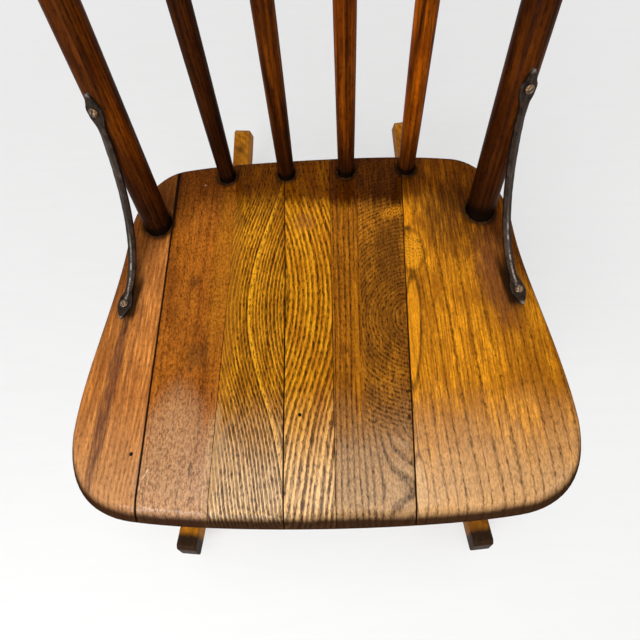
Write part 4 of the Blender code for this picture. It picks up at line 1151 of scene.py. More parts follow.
@dataclass
class Seat:
    """The plank seat: six boards with a saddled top, a rolled front and sockets for the back."""

    thickness: float = 0.032
    rear: float = 0.1075
    front: float = 0.2785
    waist: float = 0.2035
    waist_ahead: float = 0.0975
    hip: float = 0.2255
    hip_back: float = 0.0835
    rear_corner: float = 0.0535
    rear_bow: float = 0.008
    front_corner: float = 0.0605
    front_bow: float = 0.0085
    rear_handle: float = 0.5
    rear_lean: float = 0.55
    waist_handle: float = 0.5
    side_handle: float = 0.32
    hip_handle: float = 0.55
    front_lean: float = 0.62
    front_handle: float = 0.4
    edge_radius: float = 0.008
    front_roll: float = 0.022
    front_roll_drop: float = 0.4
    lower_edge: float = 0.005
    outer: float = 0.23
    outline_steps: int = 16
    edge_steps: int = 7
    cut_step: float = 0.0055
    fewest_columns: int = 6
    joint_reach: float = 0.0002
    joint_depth: float = 0.4
    joint_angle: float = 0.9
    wave_height: float = 0.00022
    wave_reach: Span = (-0.02, -0.004)
    dish_depth: float = 0.010
    dish_half_width: float = 0.150
    dish_centre: float = -0.045
    dish_to_rear: float = 0.085
    dish_to_front: float = 0.190
    dish_crispness: Span = (1.35, 2.0)
    post: Triple = (0.1705, 0.0245, 0.01425)
    post_lean: Span = (0.042, 0.301)
    spindle_x: tuple[float, ...] = (-0.099, -0.033, 0.033, 0.099)
    spindle_y: float = 0.084
    spindle_radius: float = 0.0088
    spindle_lean: Span = (0.076, 0.24)
    socket_fit: float = 0.97
    socket_flare: float = 0.0011
    socket_margin: float = 0.012
    socket_sides: int = 44
    joints: tuple[BoardJoint, ...] = (
        BoardJoint(-0.1545, -0.1580, 0.0014, 0.0009, 0.0015, 1.0, 1.7),
        BoardJoint(-0.0880, -0.0960, 0.00015, 0.0001, 0.0004, 0.0),
        BoardJoint(-0.0355, -0.0320, 0.0006, 0.0005, 0.0011),
        BoardJoint(0.0145, 0.0115, 0.0002, 0.00015, 0.0005, 0.2),
        BoardJoint(0.0950, 0.0770, 0.0007, 0.0005, 0.0011),
    )
    figures: tuple[Figure, ...] = (
        Figure(centre_x=-420, depth=60, drift=0.10, spacing=4.4, early=0.45, warp=10, seed=11),
        Figure(centre_x=-390, depth=90, drift=0.02, spacing=9.5, early=0.30, warp=16, seed=23),
        Figure(centre_x=-31, centre_y=-72, depth=3, bow=0.0021, spacing=3.3, early=0.68, fray=1.2, warp=3.5,
               seed=31, accent=38.0, accent_width=1.9),
        Figure(centre_x=-37, centre_y=-62, depth=3, bow=0.0019, spacing=5.1, early=0.56, fray=1.7, warp=4,
               seed=47),
        Figure(centre_x=88, centre_y=-93, depth=4, aspect=0.80, spacing=3.4, early=0.50, fray=3.4, warp=18,
               seed=53),
        Figure(centre_x=330, depth=60, drift=-0.045, spacing=8.6, early=0.13, fray=2.4, warp=10, seed=67,
               knot_x=93.6, knot_y=8, knot_size=11, knot_push=-20),
    )
    # The last colour of each board is the sheen painted over its front.
    tones: tuple[Tones, ...] = (
        Tones((0.92, 0.350, 0.074), (0.45, 0.150, 0.031), (0.10, 0.032, 0.009), 0.34, 0.40, 0.90, 0.36, 0.40,
              (0.62, 0.30, 0.115)),
        Tones((0.58, 0.182, 0.017), (0.30, 0.084, 0.008), (0.060, 0.018, 0.003), 0.20, 0.60, 0.35, 0.40, 0.95,
              (0.66, 0.38, 0.195)),
        Tones((1.00, 0.410, 0.016), (0.46, 0.160, 0.007), (0.036, 0.012, 0.002), 0.98, 0.72, 0.35, 0.20, 0.45,
              (1.0, 0.66, 0.33)),
        Tones((1.00, 0.430, 0.014), (0.58, 0.192, 0.007), (0.040, 0.013, 0.002), 0.98, 0.70, 0.35, 0.19, 0.45,
              (1.0, 0.63, 0.29)),
        Tones((0.56, 0.205, 0.013), (0.22, 0.074, 0.007), (0.028, 0.009, 0.002), 0.52, 0.80, 0.55, 0.28, 0.70,
              (0.57, 0.335, 0.145)),
        Tones((1.00, 0.390, 0.014), (0.42, 0.140, 0.007), (0.048, 0.015, 0.002), 0.94, 0.75, 0.95, 0.20, 0.45,
              (0.70, 0.40, 0.17)),
    )
    rims: tuple[Rim, ...] = (
        Rim(55, 34, 0.84), Rim(60, 32, 0.76), Rim(48, 22, 1.0), Rim(46, 9, 0.97), Rim(43, 8, 1.0),
        Rim(57, 26, 0.96),
    )
    changes: dict[int, FigureChange] = field(default_factory=lambda: {
        4: FigureChange(Figure(centre_x=-390, depth=60, drift=0.02, spacing=4.6, early=0.35, warp=9, seed=71,
                               knot_x=90, knot_y=-248, knot_size=30, knot_push=-34),
                        Tones((0.56, 0.194, 0.009), (0.24, 0.074, 0.006), (0.040, 0.013, 0.002), 0.70, 0.75,
                              0.70, 0.22, 0.50, (0.61, 0.37, 0.165)),
                        45.5, 38.5, -200.0),
    })
    marks: dict[int, tuple[Mark, ...]] = field(default_factory=lambda: {
        0: (Mark(-196, -168, 8, 105, (0.115, 0.040, 0.026), 0.80, 0.08, 0.7),
            Mark(-179, -120, 2.6, 110, (0.22, 0.075, 0.030), 0.6, 0.06),
            # Dirt and painted shadow under the tip of the left brace's pad.
            Mark(-191, -94, 6, 11, (0.05, 0.020, 0.012), 0.6),
            Mark(-166.8, -215.2, 1.9, 2.1, (0.010, 0.006, 0.003), 1.0, soft=0.4)),
        1: (Mark(-99, -30, 13, 125, (0.56, 0.205, 0.012), 0.70, 0.02, 0.95),
            Mark(-116, -126, 14, 20, (0.15, 0.056, 0.011), 0.6, 0.3, 0.95),
            # Painted sheen over the front of board 2.
            Mark(-130, -204, 32, 66, (0.552, 0.299, 0.138), 0.66, 0.0, 1.0, ragged=0.25),
            Mark(-123.6, 74.5, 1.3, 1.2, (0.80, 0.66, 0.50), 0.9, soft=0.5),
            Mark(-151.6, -231.9, 0.9, 4.6, (0.92, 0.70, 0.46), 0.75, 0.5, 0.6),
            # Painted sheen at the front of board 2 beside its joint with board 3.
            Mark(-97, -226, 7, 56, (0.70, 0.43, 0.195), 0.60, 0.02, 0.95),
            Mark(-127, -46, 7, 9, (0.11, 0.036, 0.010), 0.6),
            Mark(-113, -230, 2.0, 9, (0.06, 0.022, 0.010), 0.8)),
        2: (Mark(-89, -60, 12, 170, (0.36, 0.125, 0.010), 0.70, 0.02),
            # Painted sheen at the front of board 3 beside its joint with board 2.
            Mark(-94, -218, 9, 62, (0.60, 0.355, 0.165), 0.70, 0.02, 0.95),
            Mark(-85, -204, 4, 20, (0.30, 0.20, 0.11), 0.35, 0.1),
            Mark(-79, 25, 7, 12, (0.10, 0.032, 0.006), 0.6)),
        3: (Mark(-18.4, -184.2, 1.8, 2.0, (0.010, 0.006, 0.003), 1.0, soft=0.4),
            Mark(-6.6, -266, 1.7, 13, (0.045, 0.027, 0.020), 0.72, 0.02, 0.8),
            Mark(0.4, -265, 1.7, 13, (0.045, 0.027, 0.020), 0.72, 0.02, 0.8),
            Mark(8.3, -264, 1.4, 11, (0.055, 0.032, 0.022), 0.66, 0.02, 0.8),
            Mark(-14, 22, 16, 12, (0.30, 0.100, 0.020), 0.6)),
        4: (Mark(70, -16, 16, 40, (0.120, 0.040, 0.006), 0.6),
            Mark(36, -120, 3.2, 95, (0.70, 0.255, 0.009), 0.6),
            Mark(80, 28, 15, 10, (0.84, 0.320, 0.012), 0.75, 0.8, ripple=4.2, ripple_lean=-0.75),
            Mark(72, -212, 6, 9, (0.62, 0.38, 0.18), 0.50, -1.7, 0.95),
            Mark(72, -234, 5, 8, (0.60, 0.36, 0.17), 0.50, -1.9, 0.95),
            Mark(78.5, -189, 1.6, 2.6, (0.012, 0.006, 0.003), 0.9, soft=0.5)),
        5: (Mark(102, 66, 22, 28, (0.15, 0.038, 0.002), 0.85, 0.0, 0.9),
            Mark(94, 24, 7.5, 17, (0.88, 0.315, 0.007), 0.95, 0.0, 0.7),
            Mark(97, -18, 11.5, 22, (0.94, 0.395, 0.016), 0.80, 0.0, 0.6, ripple=3.4, outline=0.35),
            Mark(93.6, 8.0, 3.0, 3.0, (0.080, 0.028, 0.006), 0.85, soft=0.6, outline=0.5),
            Mark(89.5, -104, 7.5, 56, (0.92, 0.355, 0.013), 0.68, 0.10, 0.35, outline=0.65),
            Mark(83.0, -249, 5.0, 26, (0.72, 0.43, 0.19), 0.75, 0.0, 0.4, outline=0.5),
            Mark(176, -40, 26, 82, (0.17, 0.052, 0.018), 0.90, -0.06, 0.9),
            Mark(141, 14, 42, 60, (0.14, 0.042, 0.005), 0.95, 0.0, 0.95)),
    })

    def flat_height(self, point: Vector) -> float:
        """How high a point of a hollowed board lay before the hollow was sunk."""
        sunk = self.dish(point.x, point.y)
        return (point.z + sunk) / (1 - sunk / self.thickness)

    def half_outline(self) -> list[Vector]:
        """The right half of the outline, from the middle of the rear edge round to the front edge."""
        rear = Vector((0, self.rear))
        rear_corner = Vector((self.waist - self.rear_corner, self.rear - self.rear_bow))
        waist = Vector((self.waist, self.rear - self.waist_ahead))
        hip = Vector((self.hip, self.hip_back - self.front))
        front_corner = Vector((self.hip - self.front_corner, self.front_bow - self.front))
        front = Vector((0, -self.front))
        rear_lean = Vector((self.rear_corner, -self.rear_bow)) * self.rear_lean
        front_lean = Vector((self.front_corner, self.front_bow)) * self.front_lean
        segments = (
            (rear, rear + Vector((rear_corner.x * self.rear_handle, 0)),
             rear_corner - rear_lean, rear_corner),
            (rear_corner, rear_corner + rear_lean,
             waist + Vector((0, self.waist_ahead * self.waist_handle)), waist),
            (waist, waist.lerp(Vector((waist.x, hip.y)), self.side_handle),
             hip.lerp(Vector((hip.x, waist.y)), self.side_handle), hip),
            (hip, hip.lerp(Vector((hip.x, front.y)), self.hip_handle),
             front_corner + front_lean, front_corner),
            (front_corner, front_corner - front_lean,
             front + Vector((front_corner.x * self.front_handle, 0)), front),
        )
        points: list[Vector] = []
        for knots in segments:
            points += interpolate_bezier(*knots, self.outline_steps + 1)[:-1]
        return [point.to_2d() for point in points] + [front]

    def outline(self) -> list[Vector]:
        """The whole outline as a closed loop."""
        right = self.half_outline()
        return right + [Vector((-point.x, point.y)) for point in reversed(right[1:-1])]

    def front_share(self, y: float) -> float:
        """1 at the rolled front edge, falling to 0 along the sides."""
        share = (-y - (self.front - self.hip_back)) / (self.hip_back - self.front_bow)
        return min(1.0, max(0.0, share))

    def dish(self, x: float, y: float) -> float:
        """How far the saddled top lies below the rim."""
        reach = self.dish_to_rear if y > self.dish_centre else self.dish_to_front
        radius_squared = (x / self.dish_half_width) ** 2 + ((y - self.dish_centre) / reach) ** 2
        crispness = self.dish_crispness[0 if y > self.dish_centre else 1]
        return self.dish_depth * max(0.0, 1.0 - radius_squared) ** crispness

    def plank(self) -> Solid:
        """The seat as one plank with a flat top, a rolled front edge and an eased lower edge."""
        bm = bmesh.new()
        outline = self.outline()
        rolls, drops = [], []
        for point in outline:
            share = self.front_share(point.y)
            rolls.append(mix(self.edge_radius, self.front_roll, share))
            drops.append(mix(self.edge_radius, self.front_roll, self.front_roll_drop * share))

        def add_loop(insets: Sequence[float], heights: Sequence[float]) -> list[bmesh.types.BMEdge]:
            verts = []
            for index, point in enumerate(outline):
                along = outline[(index + 1) % len(outline)] - outline[index - 1]
                inwards = Vector((along.y, -along.x)).normalized()
                verts.append(bm.verts.new((*(point + inwards * insets[index]), heights[index])))
            return [bm.edges.new((verts[index - 1], verts[index])) for index in range(len(verts))]

        count = len(outline)
        loops = [add_loop([self.lower_edge] * count, [-self.thickness] * count),
                 add_loop([0.0] * count, [self.lower_edge - self.thickness] * count)]
        for step in range(self.edge_steps + 1):
            angle = math.pi / 2 * step / self.edge_steps
            loops.append(add_loop([roll * (1 - math.cos(angle)) for roll in rolls],
                                  [drop * (math.sin(angle) - 1) for drop in drops]))
        for lower, upper in zip(loops, loops[1:]):
            bmesh.ops.bridge_loops(bm, edges=lower + upper)
        for rim in (loops[0], loops[-1]):
            bmesh.ops.contextual_create(bm, geom=rim)
        bmesh.ops.recalc_face_normals(bm, faces=bm.faces)
        return bm

    def split(self, bm: Solid, joint: BoardJoint, keep: int) -> None:
        """Keep the plank on one side of a joint (-1 left, 1 right) and close the cut."""
        rear = Vector((joint.at_rear, self.rear, 0))
        ahead = Vector((joint.at_front, -self.front, 0))
        across = (rear - ahead).cross(Vector((0, 0, 1))).normalized() * keep
        cut_by_plane(bm, rear + across * joint.gap / 2, across, clear=True)
        open_edges = [edge for edge in bm.edges if edge.is_boundary]
        bmesh.ops.holes_fill(bm, edges=open_edges, sides=0)

    def grid(self, bm: Solid, index: int) -> None:
        """Divide a board finely: across it at even steps, and along it between its two joints."""
        steps = round((self.rear + self.front) / self.cut_step)
        for step in range(1, steps):
            cut_by_plane(bm, Vector((0, mix(self.rear, -self.front, step / steps), 0)), Vector((0, 1, 0)))
        lines = [(-self.outer, -self.outer), *((joint.at_rear, joint.at_front) for joint in self.joints),
                 (self.outer, self.outer)]
        first, last = lines[index], lines[index + 1]
        columns = max(self.fewest_columns, round((last[0] - first[0]) / self.cut_step))
        for column in range(1, columns):
            share = column / columns
            rear = Vector((mix(first[0], last[0], share), self.rear, 0))
            ahead = Vector((mix(first[1], last[1], share), -self.front, 0))
            cut_by_plane(bm, rear, (rear - ahead).cross(Vector((0, 0, 1))).normalized())

    def ease_joints(self, bm: Solid, joints: Sequence[BoardJoint]) -> None:
        """Round the upper edges of a board along its joints."""
        bm.normal_update()
        for joint in joints:
            rims = []
            for edge in bm.edges:
                middle = (edge.verts[0].co + edge.verts[1].co) / 2
                share = (self.rear - middle.y) / (self.rear + self.front)
                along = abs(middle.x - joint.x(share)) < joint.gap / 2 + self.joint_reach
                upper = middle.z > -self.joint_depth * self.thickness
                if along and upper and edge.calc_face_angle(0.0) > self.joint_angle:
                    rims.append(edge)
            bmesh.ops.bevel(bm, geom=rims, offset=joint.easing, segments=2, profile=0.5, affect="EDGES",
                            material=-1, clamp_overlap=True)

    def hollow(self, bm: Solid) -> None:
        """Sink the saddle into the top, with the slight waves of hand work."""
        for vert in bm.verts:
            x, y, z = vert.co
            share = max(0.0, 1.0 + z / self.thickness)
            wave = self.wave_height * (math.sin(31 * x + 17 * y) + math.sin(47 * y - 23 * x + 1.3))
            vert.co.z -= share * (self.dish(x, y) + wave * eased(z, *self.wave_reach))

    def socket_tools(self, low: float, high: float) -> list[Solid]:
        """Flared drills for the posts and spindles that stand between two places across the seat."""
        tools = []
        splay, rake = self.spindle_lean
        stands = [(Vector((x, self.spindle_y, 0)), Vector((x * splay, rake, 1)), self.spindle_radius)
                  for x in self.spindle_x]
        post_x, post_y, post_radius = self.post
        for side in Side:
            lean = Vector((side.value * self.post_lean[0], self.post_lean[1], 1))
            stands.append((Vector((side.value * post_x, post_y, 0)), lean, post_radius))
        for base, lean, radius in stands:
            if not low < base.x < high:
                continue
            wall = radius * self.socket_fit
            stations = ((-0.014, wall), (-0.0016, wall), (0.0004, wall + self.socket_flare),
                        (0.012, wall + self.socket_flare * 1.6))
            tool = turning(stations, self.socket_sides, 0.02)
            bmesh.ops.transform(tool, matrix=axis_frame(base, base + lean), verts=tool.verts)
            tools.append(tool)
        return tools

    def build(self, finishes: Finishes, peg: Material) -> None:
        """Make and dress the six boards, and finish the dowels inside them."""
        edges = [-1.0] + [(joint.at_rear + joint.at_front) / 2 for joint in self.joints] + [1.0]
        for index in range(len(self.joints) + 1):
            bm = self.plank()
            if index > 0:
                self.split(bm, self.joints[index - 1], 1)
            if index < len(self.joints):
                self.split(bm, self.joints[index], -1)
            joints = self.joints[max(0, index - 1):index + 1]
            self.grid(bm, index)
            self.ease_joints(bm, joints)
            self.hollow(bm)
            tools = self.socket_tools(edges[index] - self.socket_margin,
                                      edges[index + 1] + self.socket_margin)
            if tools:
                bm = carved(bm, tools)
            name = f"seat_board_{index + 1}"
            material = finishes.board(name, self.figures[index], self.tones[index], self.rims[index], joints,
                                      self.marks.get(index, ()), self.changes.get(index))
            finished(name, Slot.SEAT).hand_over(
                bm, SEAT_FRAME, material, lambda point: Vector((point.x, point.y, self.flat_height(point))))
        for name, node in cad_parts.items():
            if name.startswith("seat_dowel"):
                node.data.materials.clear()
                node.data.materials.append(peg)
                LOG.info("%s: finished as it is", name)


# Back


@dataclass
class PressedOrnament:
    """A pressed border, scrolls, leaves and a shell, as a height between 0 (pressed) and 1 (proud)."""

    border: float = 0.0105
    border_soft: float = 0.0016
    bead_inset: float = 0.0165
    bead_spacing: float = 0.0072
    bead_radius: float = 0.0027
    bead_reach: float = 0.172
    end_margin: float = 0.022
    end_border: float = 0.012
    shell_radius: float = 0.040
    shell_start: float = 0.010
    shell_drop: float = 0.017
    shell_stretch: float = 1.12
    shell_fan: float = 78.0
    shell_lobes: int = 9
    shell_dabs: int = 14
    shell_sizes: Span = (0.0010, 0.0031)
    shell_root: Span = (0.001, 0.0062)
    scrolls: tuple[tuple[float, int, float], ...] = ((0.069, 1, 1.0), (0.124, -1, 0.86))
    scroll_radius: float = 0.019
    scroll_turns: float = 1.55
    scroll_draw: float = 0.88
    scroll_dabs: int = 60
    scroll_sizes: Span = (0.0028, 0.0014)
    scroll_eye: float = 0.0036
    leaf_count: int = 5
    leaf_dabs: int = 9
    leaf_angles: Span = (-40.0, 38.0)
    leaf_reach: Span = (0.002, 0.0125)
    leaf_swing: float = 0.35
    leaf_size: float = 0.0026
    leaf_ends: Span = (0.2, 0.95)
    vine_dabs: int = 40
    vine_reach: Span = (0.040, 0.166)
    vine_swing: float = 0.012
    vine_waves: float = 2.2
    vine_size: float = 0.0013

    def shell(self, middle: float) -> list[Dab]:
        """The lobes of the shell in the middle, spread like a fan."""
        base = middle - self.shell_drop
        drop, size = self.shell_root
        dabs = [(0.0, base - drop, size)]
        for lobe in range(self.shell_lobes):
            angle = math.radians(mix(-self.shell_fan, self.shell_fan, lobe / (self.shell_lobes - 1)))
            for share in steps(self.shell_dabs):
                far = mix(self.shell_start, self.shell_radius, share)
                dabs.append((math.sin(angle) * far, base + math.cos(angle) * far * self.shell_stretch,
                             mix(*self.shell_sizes, share)))
        return dabs

    def scroll(self, centre_x: float, centre: float, turn: int, size: float) -> list[Dab]:
        """A scroll that draws in to its eye, with leaves around it."""
        dabs = [(centre_x, centre, self.scroll_eye)]
        radius = self.scroll_radius * size
        for share in steps(self.scroll_dabs):
            angle = math.pi * (0.5 + 2 * self.scroll_turns * share)
            far = radius * (1 - self.scroll_draw * share)
            dabs.append((centre_x + far * math.cos(angle), centre + turn * far * math.sin(angle),
                         mix(*self.scroll_sizes, share)))
        first, between = self.leaf_angles
        for leaf in range(self.leaf_count):
            angle = math.radians(first + between * leaf) * turn
            for share in steps(self.leaf_dabs):
                far = radius + mix(*self.leaf_reach, share)
                swing = angle + turn * self.leaf_swing * share
                dabs.append((centre_x + far * math.sin(swing), centre + far * math.cos(swing) * turn,
                             self.leaf_size * math.sin(math.pi * mix(*self.leaf_ends, share))))
        return dabs

    def strokes(self, middle: Callable[[float], float]) -> list[Dab]:
        """Round dabs (x, height, radius) that draw the ornament on the right half."""
        dabs = self.shell(middle(0.0))
        for centre_x, turn, size in self.scrolls:
            dabs += self.scroll(centre_x, middle(centre_x), turn, size)
        for share in steps(self.vine_dabs):
            x = mix(*self.vine_reach, share)
            swing = self.vine_swing * math.sin(math.pi * self.vine_waves * share)
            dabs.append((x, middle(x) + swing, self.vine_size))
        return dabs

    def height(self, x: np.ndarray, height: np.ndarray, lower: np.ndarray, upper: np.ndarray,
               reach: np.ndarray, middle: Callable[[float], float],
               edges: Callable[[float], tuple[float, float]]) -> np.ndarray:
        """The ornament's height over points of the crest's face.

        Args:
            x: Distances from the middle of the crest.
            height: Heights above the seat.
            lower: The crest's lower edge at each point.
            upper: The crest's upper edge at each point.
            reach: Half the free width of the face at each point.
            middle: Height of the ornament's middle line at a distance from the middle.
            edges: Lower and upper edge of the crest at a distance from the middle.

        Returns:
            1 on proud ornament and outside the panel, 0 on the pressed ground.
        """
        inside = np.minimum(np.minimum(height - lower, upper - height),
                            reach - self.end_margin + self.end_border - np.abs(x))
        panel = np.clip((inside - self.border) / self.border_soft, 0.0, 1.0)
        proud = np.zeros_like(x)
        dabs = self.strokes(middle)
        bead_x = 0.0
        while bead_x < self.bead_reach:
            low, high = edges(bead_x)
            for level in (low + self.bead_inset, high - self.bead_inset):
                dabs.append((bead_x, level, self.bead_radius))
            bead_x += self.bead_spacing
        for dab_x, dab_height, radius in dabs:
            far = ((np.abs(x) - dab_x) ** 2 + (height - dab_height) ** 2) / radius ** 2
            proud = np.maximum(proud, np.sqrt(np.clip(1.0 - far, 0.0, 1.0)))
        return 1.0 - panel * (1.0 - proud)


@dataclass
class Back:
    """Two raked posts, four spindles and the pressed crest rail between the posts."""

    post_x: float = 0.1705
    post_y: float = 0.0245
    splay: float = 0.042
    rake: float = 0.301
    post_radius: float = 0.01425
    post_tenon_radius: float = 0.0130
    post_shaft: float = 0.290
    neck_radius: float = 0.0125
    ring_radius: float = 0.0150
    ring_height: float = 0.010
    ring_below: float = 0.036
    finial_radius: float = 0.0155
    finial_neck: float = 0.0095
    finial_height: float = 0.034
    spindle_spacing: float = 0.066
    spindle_top_spacing: float = 0.068
    spindle_y: float = 0.084
    spindle_tenon: float = 0.0075
    spindle_base: float = 0.0088
    spindle_swell: float = 0.0100
    spindle_swell_at: float = 0.180
    spindle_top: float = 0.0062
    crest_lift: float = 0.395
    crest_end: float = 0.082
    crest_rise: float = 0.050
    crest_rise_half: float = 0.128
    crest_belly: float = 0.007
    crest_bow: float = 0.014
    crest_thickness: float = 0.021
    crest_edge: float = 0.004
    crest_steps: Counts = (216, 6, 78)
    crest_middle: float = 0.48
    crest_log: Span = (0.30, 0.02)
    press_depth: float = 0.0014
    press_dirt: float = 0.45
    crest_thinned: Span = (0.10, 0.42)
    pin_radius: float = 0.002
    pin_side: float = 0.006
    post_sides: int = 52
    spindle_sides: int = 40
    pin_sides: int = 24
    # Warm share of each post and spindle: stain worn thin and painted light, stronger on the spindles to the
    # right and weaker near the seat; the feet are painted dark for dirt and shade.
    post_thinned: Span = (0.22, 0.12)
    post_foot: Span = (0.007, 0.020)
    spindle_thinned: tuple[float, ...] = (0.05, 0.26, 0.56, 0.78)
    spindle_foot: float = 0.008
    foot_thinned: float = 0.10
    foot_reach: float = 0.11
    foot_dirt: float = 0.92
    foot_dirt_core: float = 0.35
    ornament: PressedOrnament = field(default_factory=PressedOrnament)

    def half_width(self, height: float | np.ndarray) -> float | np.ndarray:
        """Half the distance between the post axes at a height above the seat."""
        return self.post_x + self.splay * height

    def post_point(self, side: Side, height: float) -> Vector:
        """A point on a post's axis at a height above the seat."""
        return Vector((side.value * self.half_width(height), self.post_y + self.rake * height, height))

    def post_stations(self) -> list[Station]:
        """Height along a post and radius: a shaft, a ring between two fine beads, a neck and a finial."""
        stretch = math.sqrt(1 + self.splay ** 2 + self.rake ** 2)
        ring = self.crest_lift - self.ring_below
        half = self.ring_height / 2
        neck = self.crest_lift + self.crest_end + self.crest_edge
        ball = neck + self.finial_height / 2
        top = neck + self.finial_height
        slim, shaft, bead = self.neck_radius, self.post_radius, self.neck_radius * 1.06
        stations = [(-0.012, self.post_tenon_radius), (0.0030, self.post_tenon_radius),
                    (0.0090, shaft * 0.975), (0.020, shaft), (0.150, shaft * 1.01), (self.post_shaft, shaft)]
        rings = ((-3.2, slim * 1.03), (-2.2, slim), (-1.9, bead), (-1.6, slim), (-1.15, slim),
                 (-0.75, self.ring_radius * 0.97), (0.0, self.ring_radius), (0.75, self.ring_radius * 0.97),
                 (1.15, slim), (1.6, slim), (1.9, bead), (2.2, slim))
        stations += [(ring + half * place, radius) for place, radius in rings]
        stations += [(neck - 0.004, slim), (neck - 0.001, slim * 1.04), (neck + 0.0015, slim * 0.94),
                     (neck + self.finial_height * 0.16, self.finial_neck)]
        bulb = ((ball, -0.08, 0.92), (ball, 0.08, 1.0), (ball, 0.28, 0.80), (top, -0.10, 0.40),
                (top, -0.06, 0.26), (top, 0.0, 0.16))
        stations += [(base + self.finial_height * place, self.finial_radius * part)
                     for base, place, part in bulb]
        return [(height * stretch, radius) for height, radius in stations]

    def spindle_stations(self, length: float) -> list[Station]:
        """Height along a spindle and radius: a rounded foot and a slow swell that draws in to the crest."""
        base, swell, top = self.spindle_base, self.spindle_swell, self.spindle_top
        at = self.spindle_swell_at
        return [
            (-0.012, self.spindle_tenon), (0.0020, self.spindle_tenon), (0.0055, base * 0.95),
            (0.0123, base), (at * 0.55, mix(base, swell, 0.7)), (at, swell),
            (mix(at, length, 0.40), mix(swell, top, 0.30)), (mix(at, length, 0.75), mix(swell, top, 0.74)),
            (length - top, top), (length + 0.010, top),
        ]

    def sheet(self, x: float, height: float) -> float:
        """How far the crest's middle sheet lies behind the seat's origin."""
        reach = x / self.half_width(height)
        return self.post_y + self.rake * height + self.crest_bow * (1 - reach ** 2)

    def crest_edges(self, x: float) -> tuple[float, float]:
        """Heights of the crest's lower and upper edge."""
        lower = self.crest_lift - self.crest_belly * (1 - (x / self.half_width(self.crest_lift)) ** 2)
        share = min(1.0, abs(x) / self.crest_rise_half)
        upper = self.crest_lift + self.crest_end + self.crest_rise * (1 + math.cos(math.pi * share)) / 2
        return lower, upper

    def crest_point(self, point: Vector) -> Vector:
        """Place a point of the crest's box: X from post to post, Y from front to back, Z up the rail."""
        u, w, v = point
        middle_x = u * self.half_width(self.crest_lift + self.crest_end / 2)
        lower, upper = self.crest_edges(middle_x)
        height = mix(lower, upper, (v + 1) / 2)
        x = u * self.half_width(height)
        from_edge = min(1.0, (1 - abs(v)) * (upper - lower) / 2 / self.crest_edge)
        rounding = self.crest_edge * (1 - math.sqrt(1 - (1 - from_edge) ** 2))
        offset = w * (self.crest_thickness / 2 - rounding)
        return Vector((x, self.sheet(x, height) + offset * math.sqrt(1 + self.rake ** 2), height))

    def crest(self) -> Solid:
        """The bowed crest rail with its pressed face."""
        bm = lattice_box(self.crest_steps)
        thinned = bm.verts.layers.float.new(THINNED_AND_LIT)
        dirt = bm.verts.layers.float.new(FOOT_DIRT_AND_SHADE)
        face = [vert for vert in bm.verts if vert.co.y < -1 + MERGE]
        for vert in bm.verts:
            vert.co = self.crest_point(vert.co)
        x = np.array([vert.co.x for vert in face])
        height = np.array([vert.co.z for vert in face])
        edges = [self.crest_edges(value) for value in x]
        lower = np.array([edge[0] for edge in edges])
        upper = np.array([edge[1] for edge in edges])
        reach = self.half_width(height) - self.neck_radius

        def middle(place: float) -> float:
            low, high = self.crest_edges(place)
            return mix(low, high, self.crest_middle)

        proud = self.ornament.height(x, height, lower, upper, reach, middle, self.crest_edges)
        for vert in bm.verts:
            vert[thinned] = self.crest_thinned[1]
        for vert, share in zip(face, proud):
            vert.co.y += self.press_depth * (1 - float(share))
            vert[thinned] = mix(*self.crest_thinned, float(share))
            vert[dirt] = self.press_dirt * (1 - float(share))
        bmesh.ops.recalc_face_normals(bm, faces=bm.faces)
        return bm

    def build(self, wood: Material, peg: Material) -> None:
        """Make and dress the posts, the spindles, the crest and its pins."""
        for seed, side in enumerate(Side):
            name = f"back_post_{side.label}"
            place = SEAT_FRAME @ axis_frame(self.post_point(side, 0), self.post_point(side, 1))
            finished(name, Slot.TURNED).hand_over(
                turning(self.post_stations(), self.post_sides), place, wood, round_grain(seed + 1),
                self.stain_masks(self.post_thinned[seed], self.post_foot[seed]))
        for index, thinned in enumerate(self.spindle_thinned):
            step = index - (len(self.spindle_thinned) - 1) / 2
            base = Vector((step * self.spindle_spacing, self.spindle_y, 0))
            top_x = step * self.spindle_top_spacing
            top_height = self.crest_edges(top_x)[0]
            top = Vector((top_x, self.sheet(top_x, top_height), top_height))
            name = f"spindle_{index + 1}"
            finished(name, Slot.TURNED).hand_over(
                turning(self.spindle_stations((top - base).length), self.spindle_sides),
                SEAT_FRAME @ axis_frame(base, top), wood, round_grain(index + 4),
                self.stain_masks(thinned, self.spindle_foot))
        finished("crest_rail", Slot.TURNED).hand_over(
            self.crest(), SEAT_FRAME, wood,
            lambda point: Vector((point.z - self.crest_log[0], point.x, point.y - self.crest_log[1])))
        self.build_pins(peg)

    def stain_masks(self, thinned: float, foot: float) -> Masks:
        """Masks of a turning: stain rubbed thin and painted light, growing away from the seat, and dirt and
        painted shade at its foot.
        """
        def rubbed(point: Vector) -> float:
            return thinned * mix(self.foot_thinned, 1.0, eased(point.z, 0.0, self.foot_reach))

        def dirty(point: Vector) -> float:
            return self.foot_dirt * eased(-point.z, -foot, -foot * self.foot_dirt_core)

        return {THINNED_AND_LIT: rubbed, FOOT_DIRT_AND_SHADE: dirty}

    def build_pins(self, peg: Material) -> None:
        """The domed pins behind the posts that hold the crest's tenons."""
        for side in Side:
            inner = Vector((-side.value * self.pin_side, 0, 0))
            forwards = Vector((0, -1, self.rake)).normalized()
            depth = math.sqrt(self.neck_radius ** 2 - self.pin_side ** 2)
            start = self.post_point(side, self.crest_lift + self.crest_end / 2) + inner - forwards * depth
            stations = ((-0.0006, self.pin_radius * 0.55), (-0.0003, self.pin_radius * 0.86),
                        (0.0003, self.pin_radius), (0.010, self.pin_radius))
            name = f"crest_pin_{side.label}"
            finished(name, Slot.PEG).hand_over(
                turning(stations, self.pin_sides, 0.002), SEAT_FRAME @ axis_frame(start, start + forwards),
                peg, round_grain(2))


# Braces


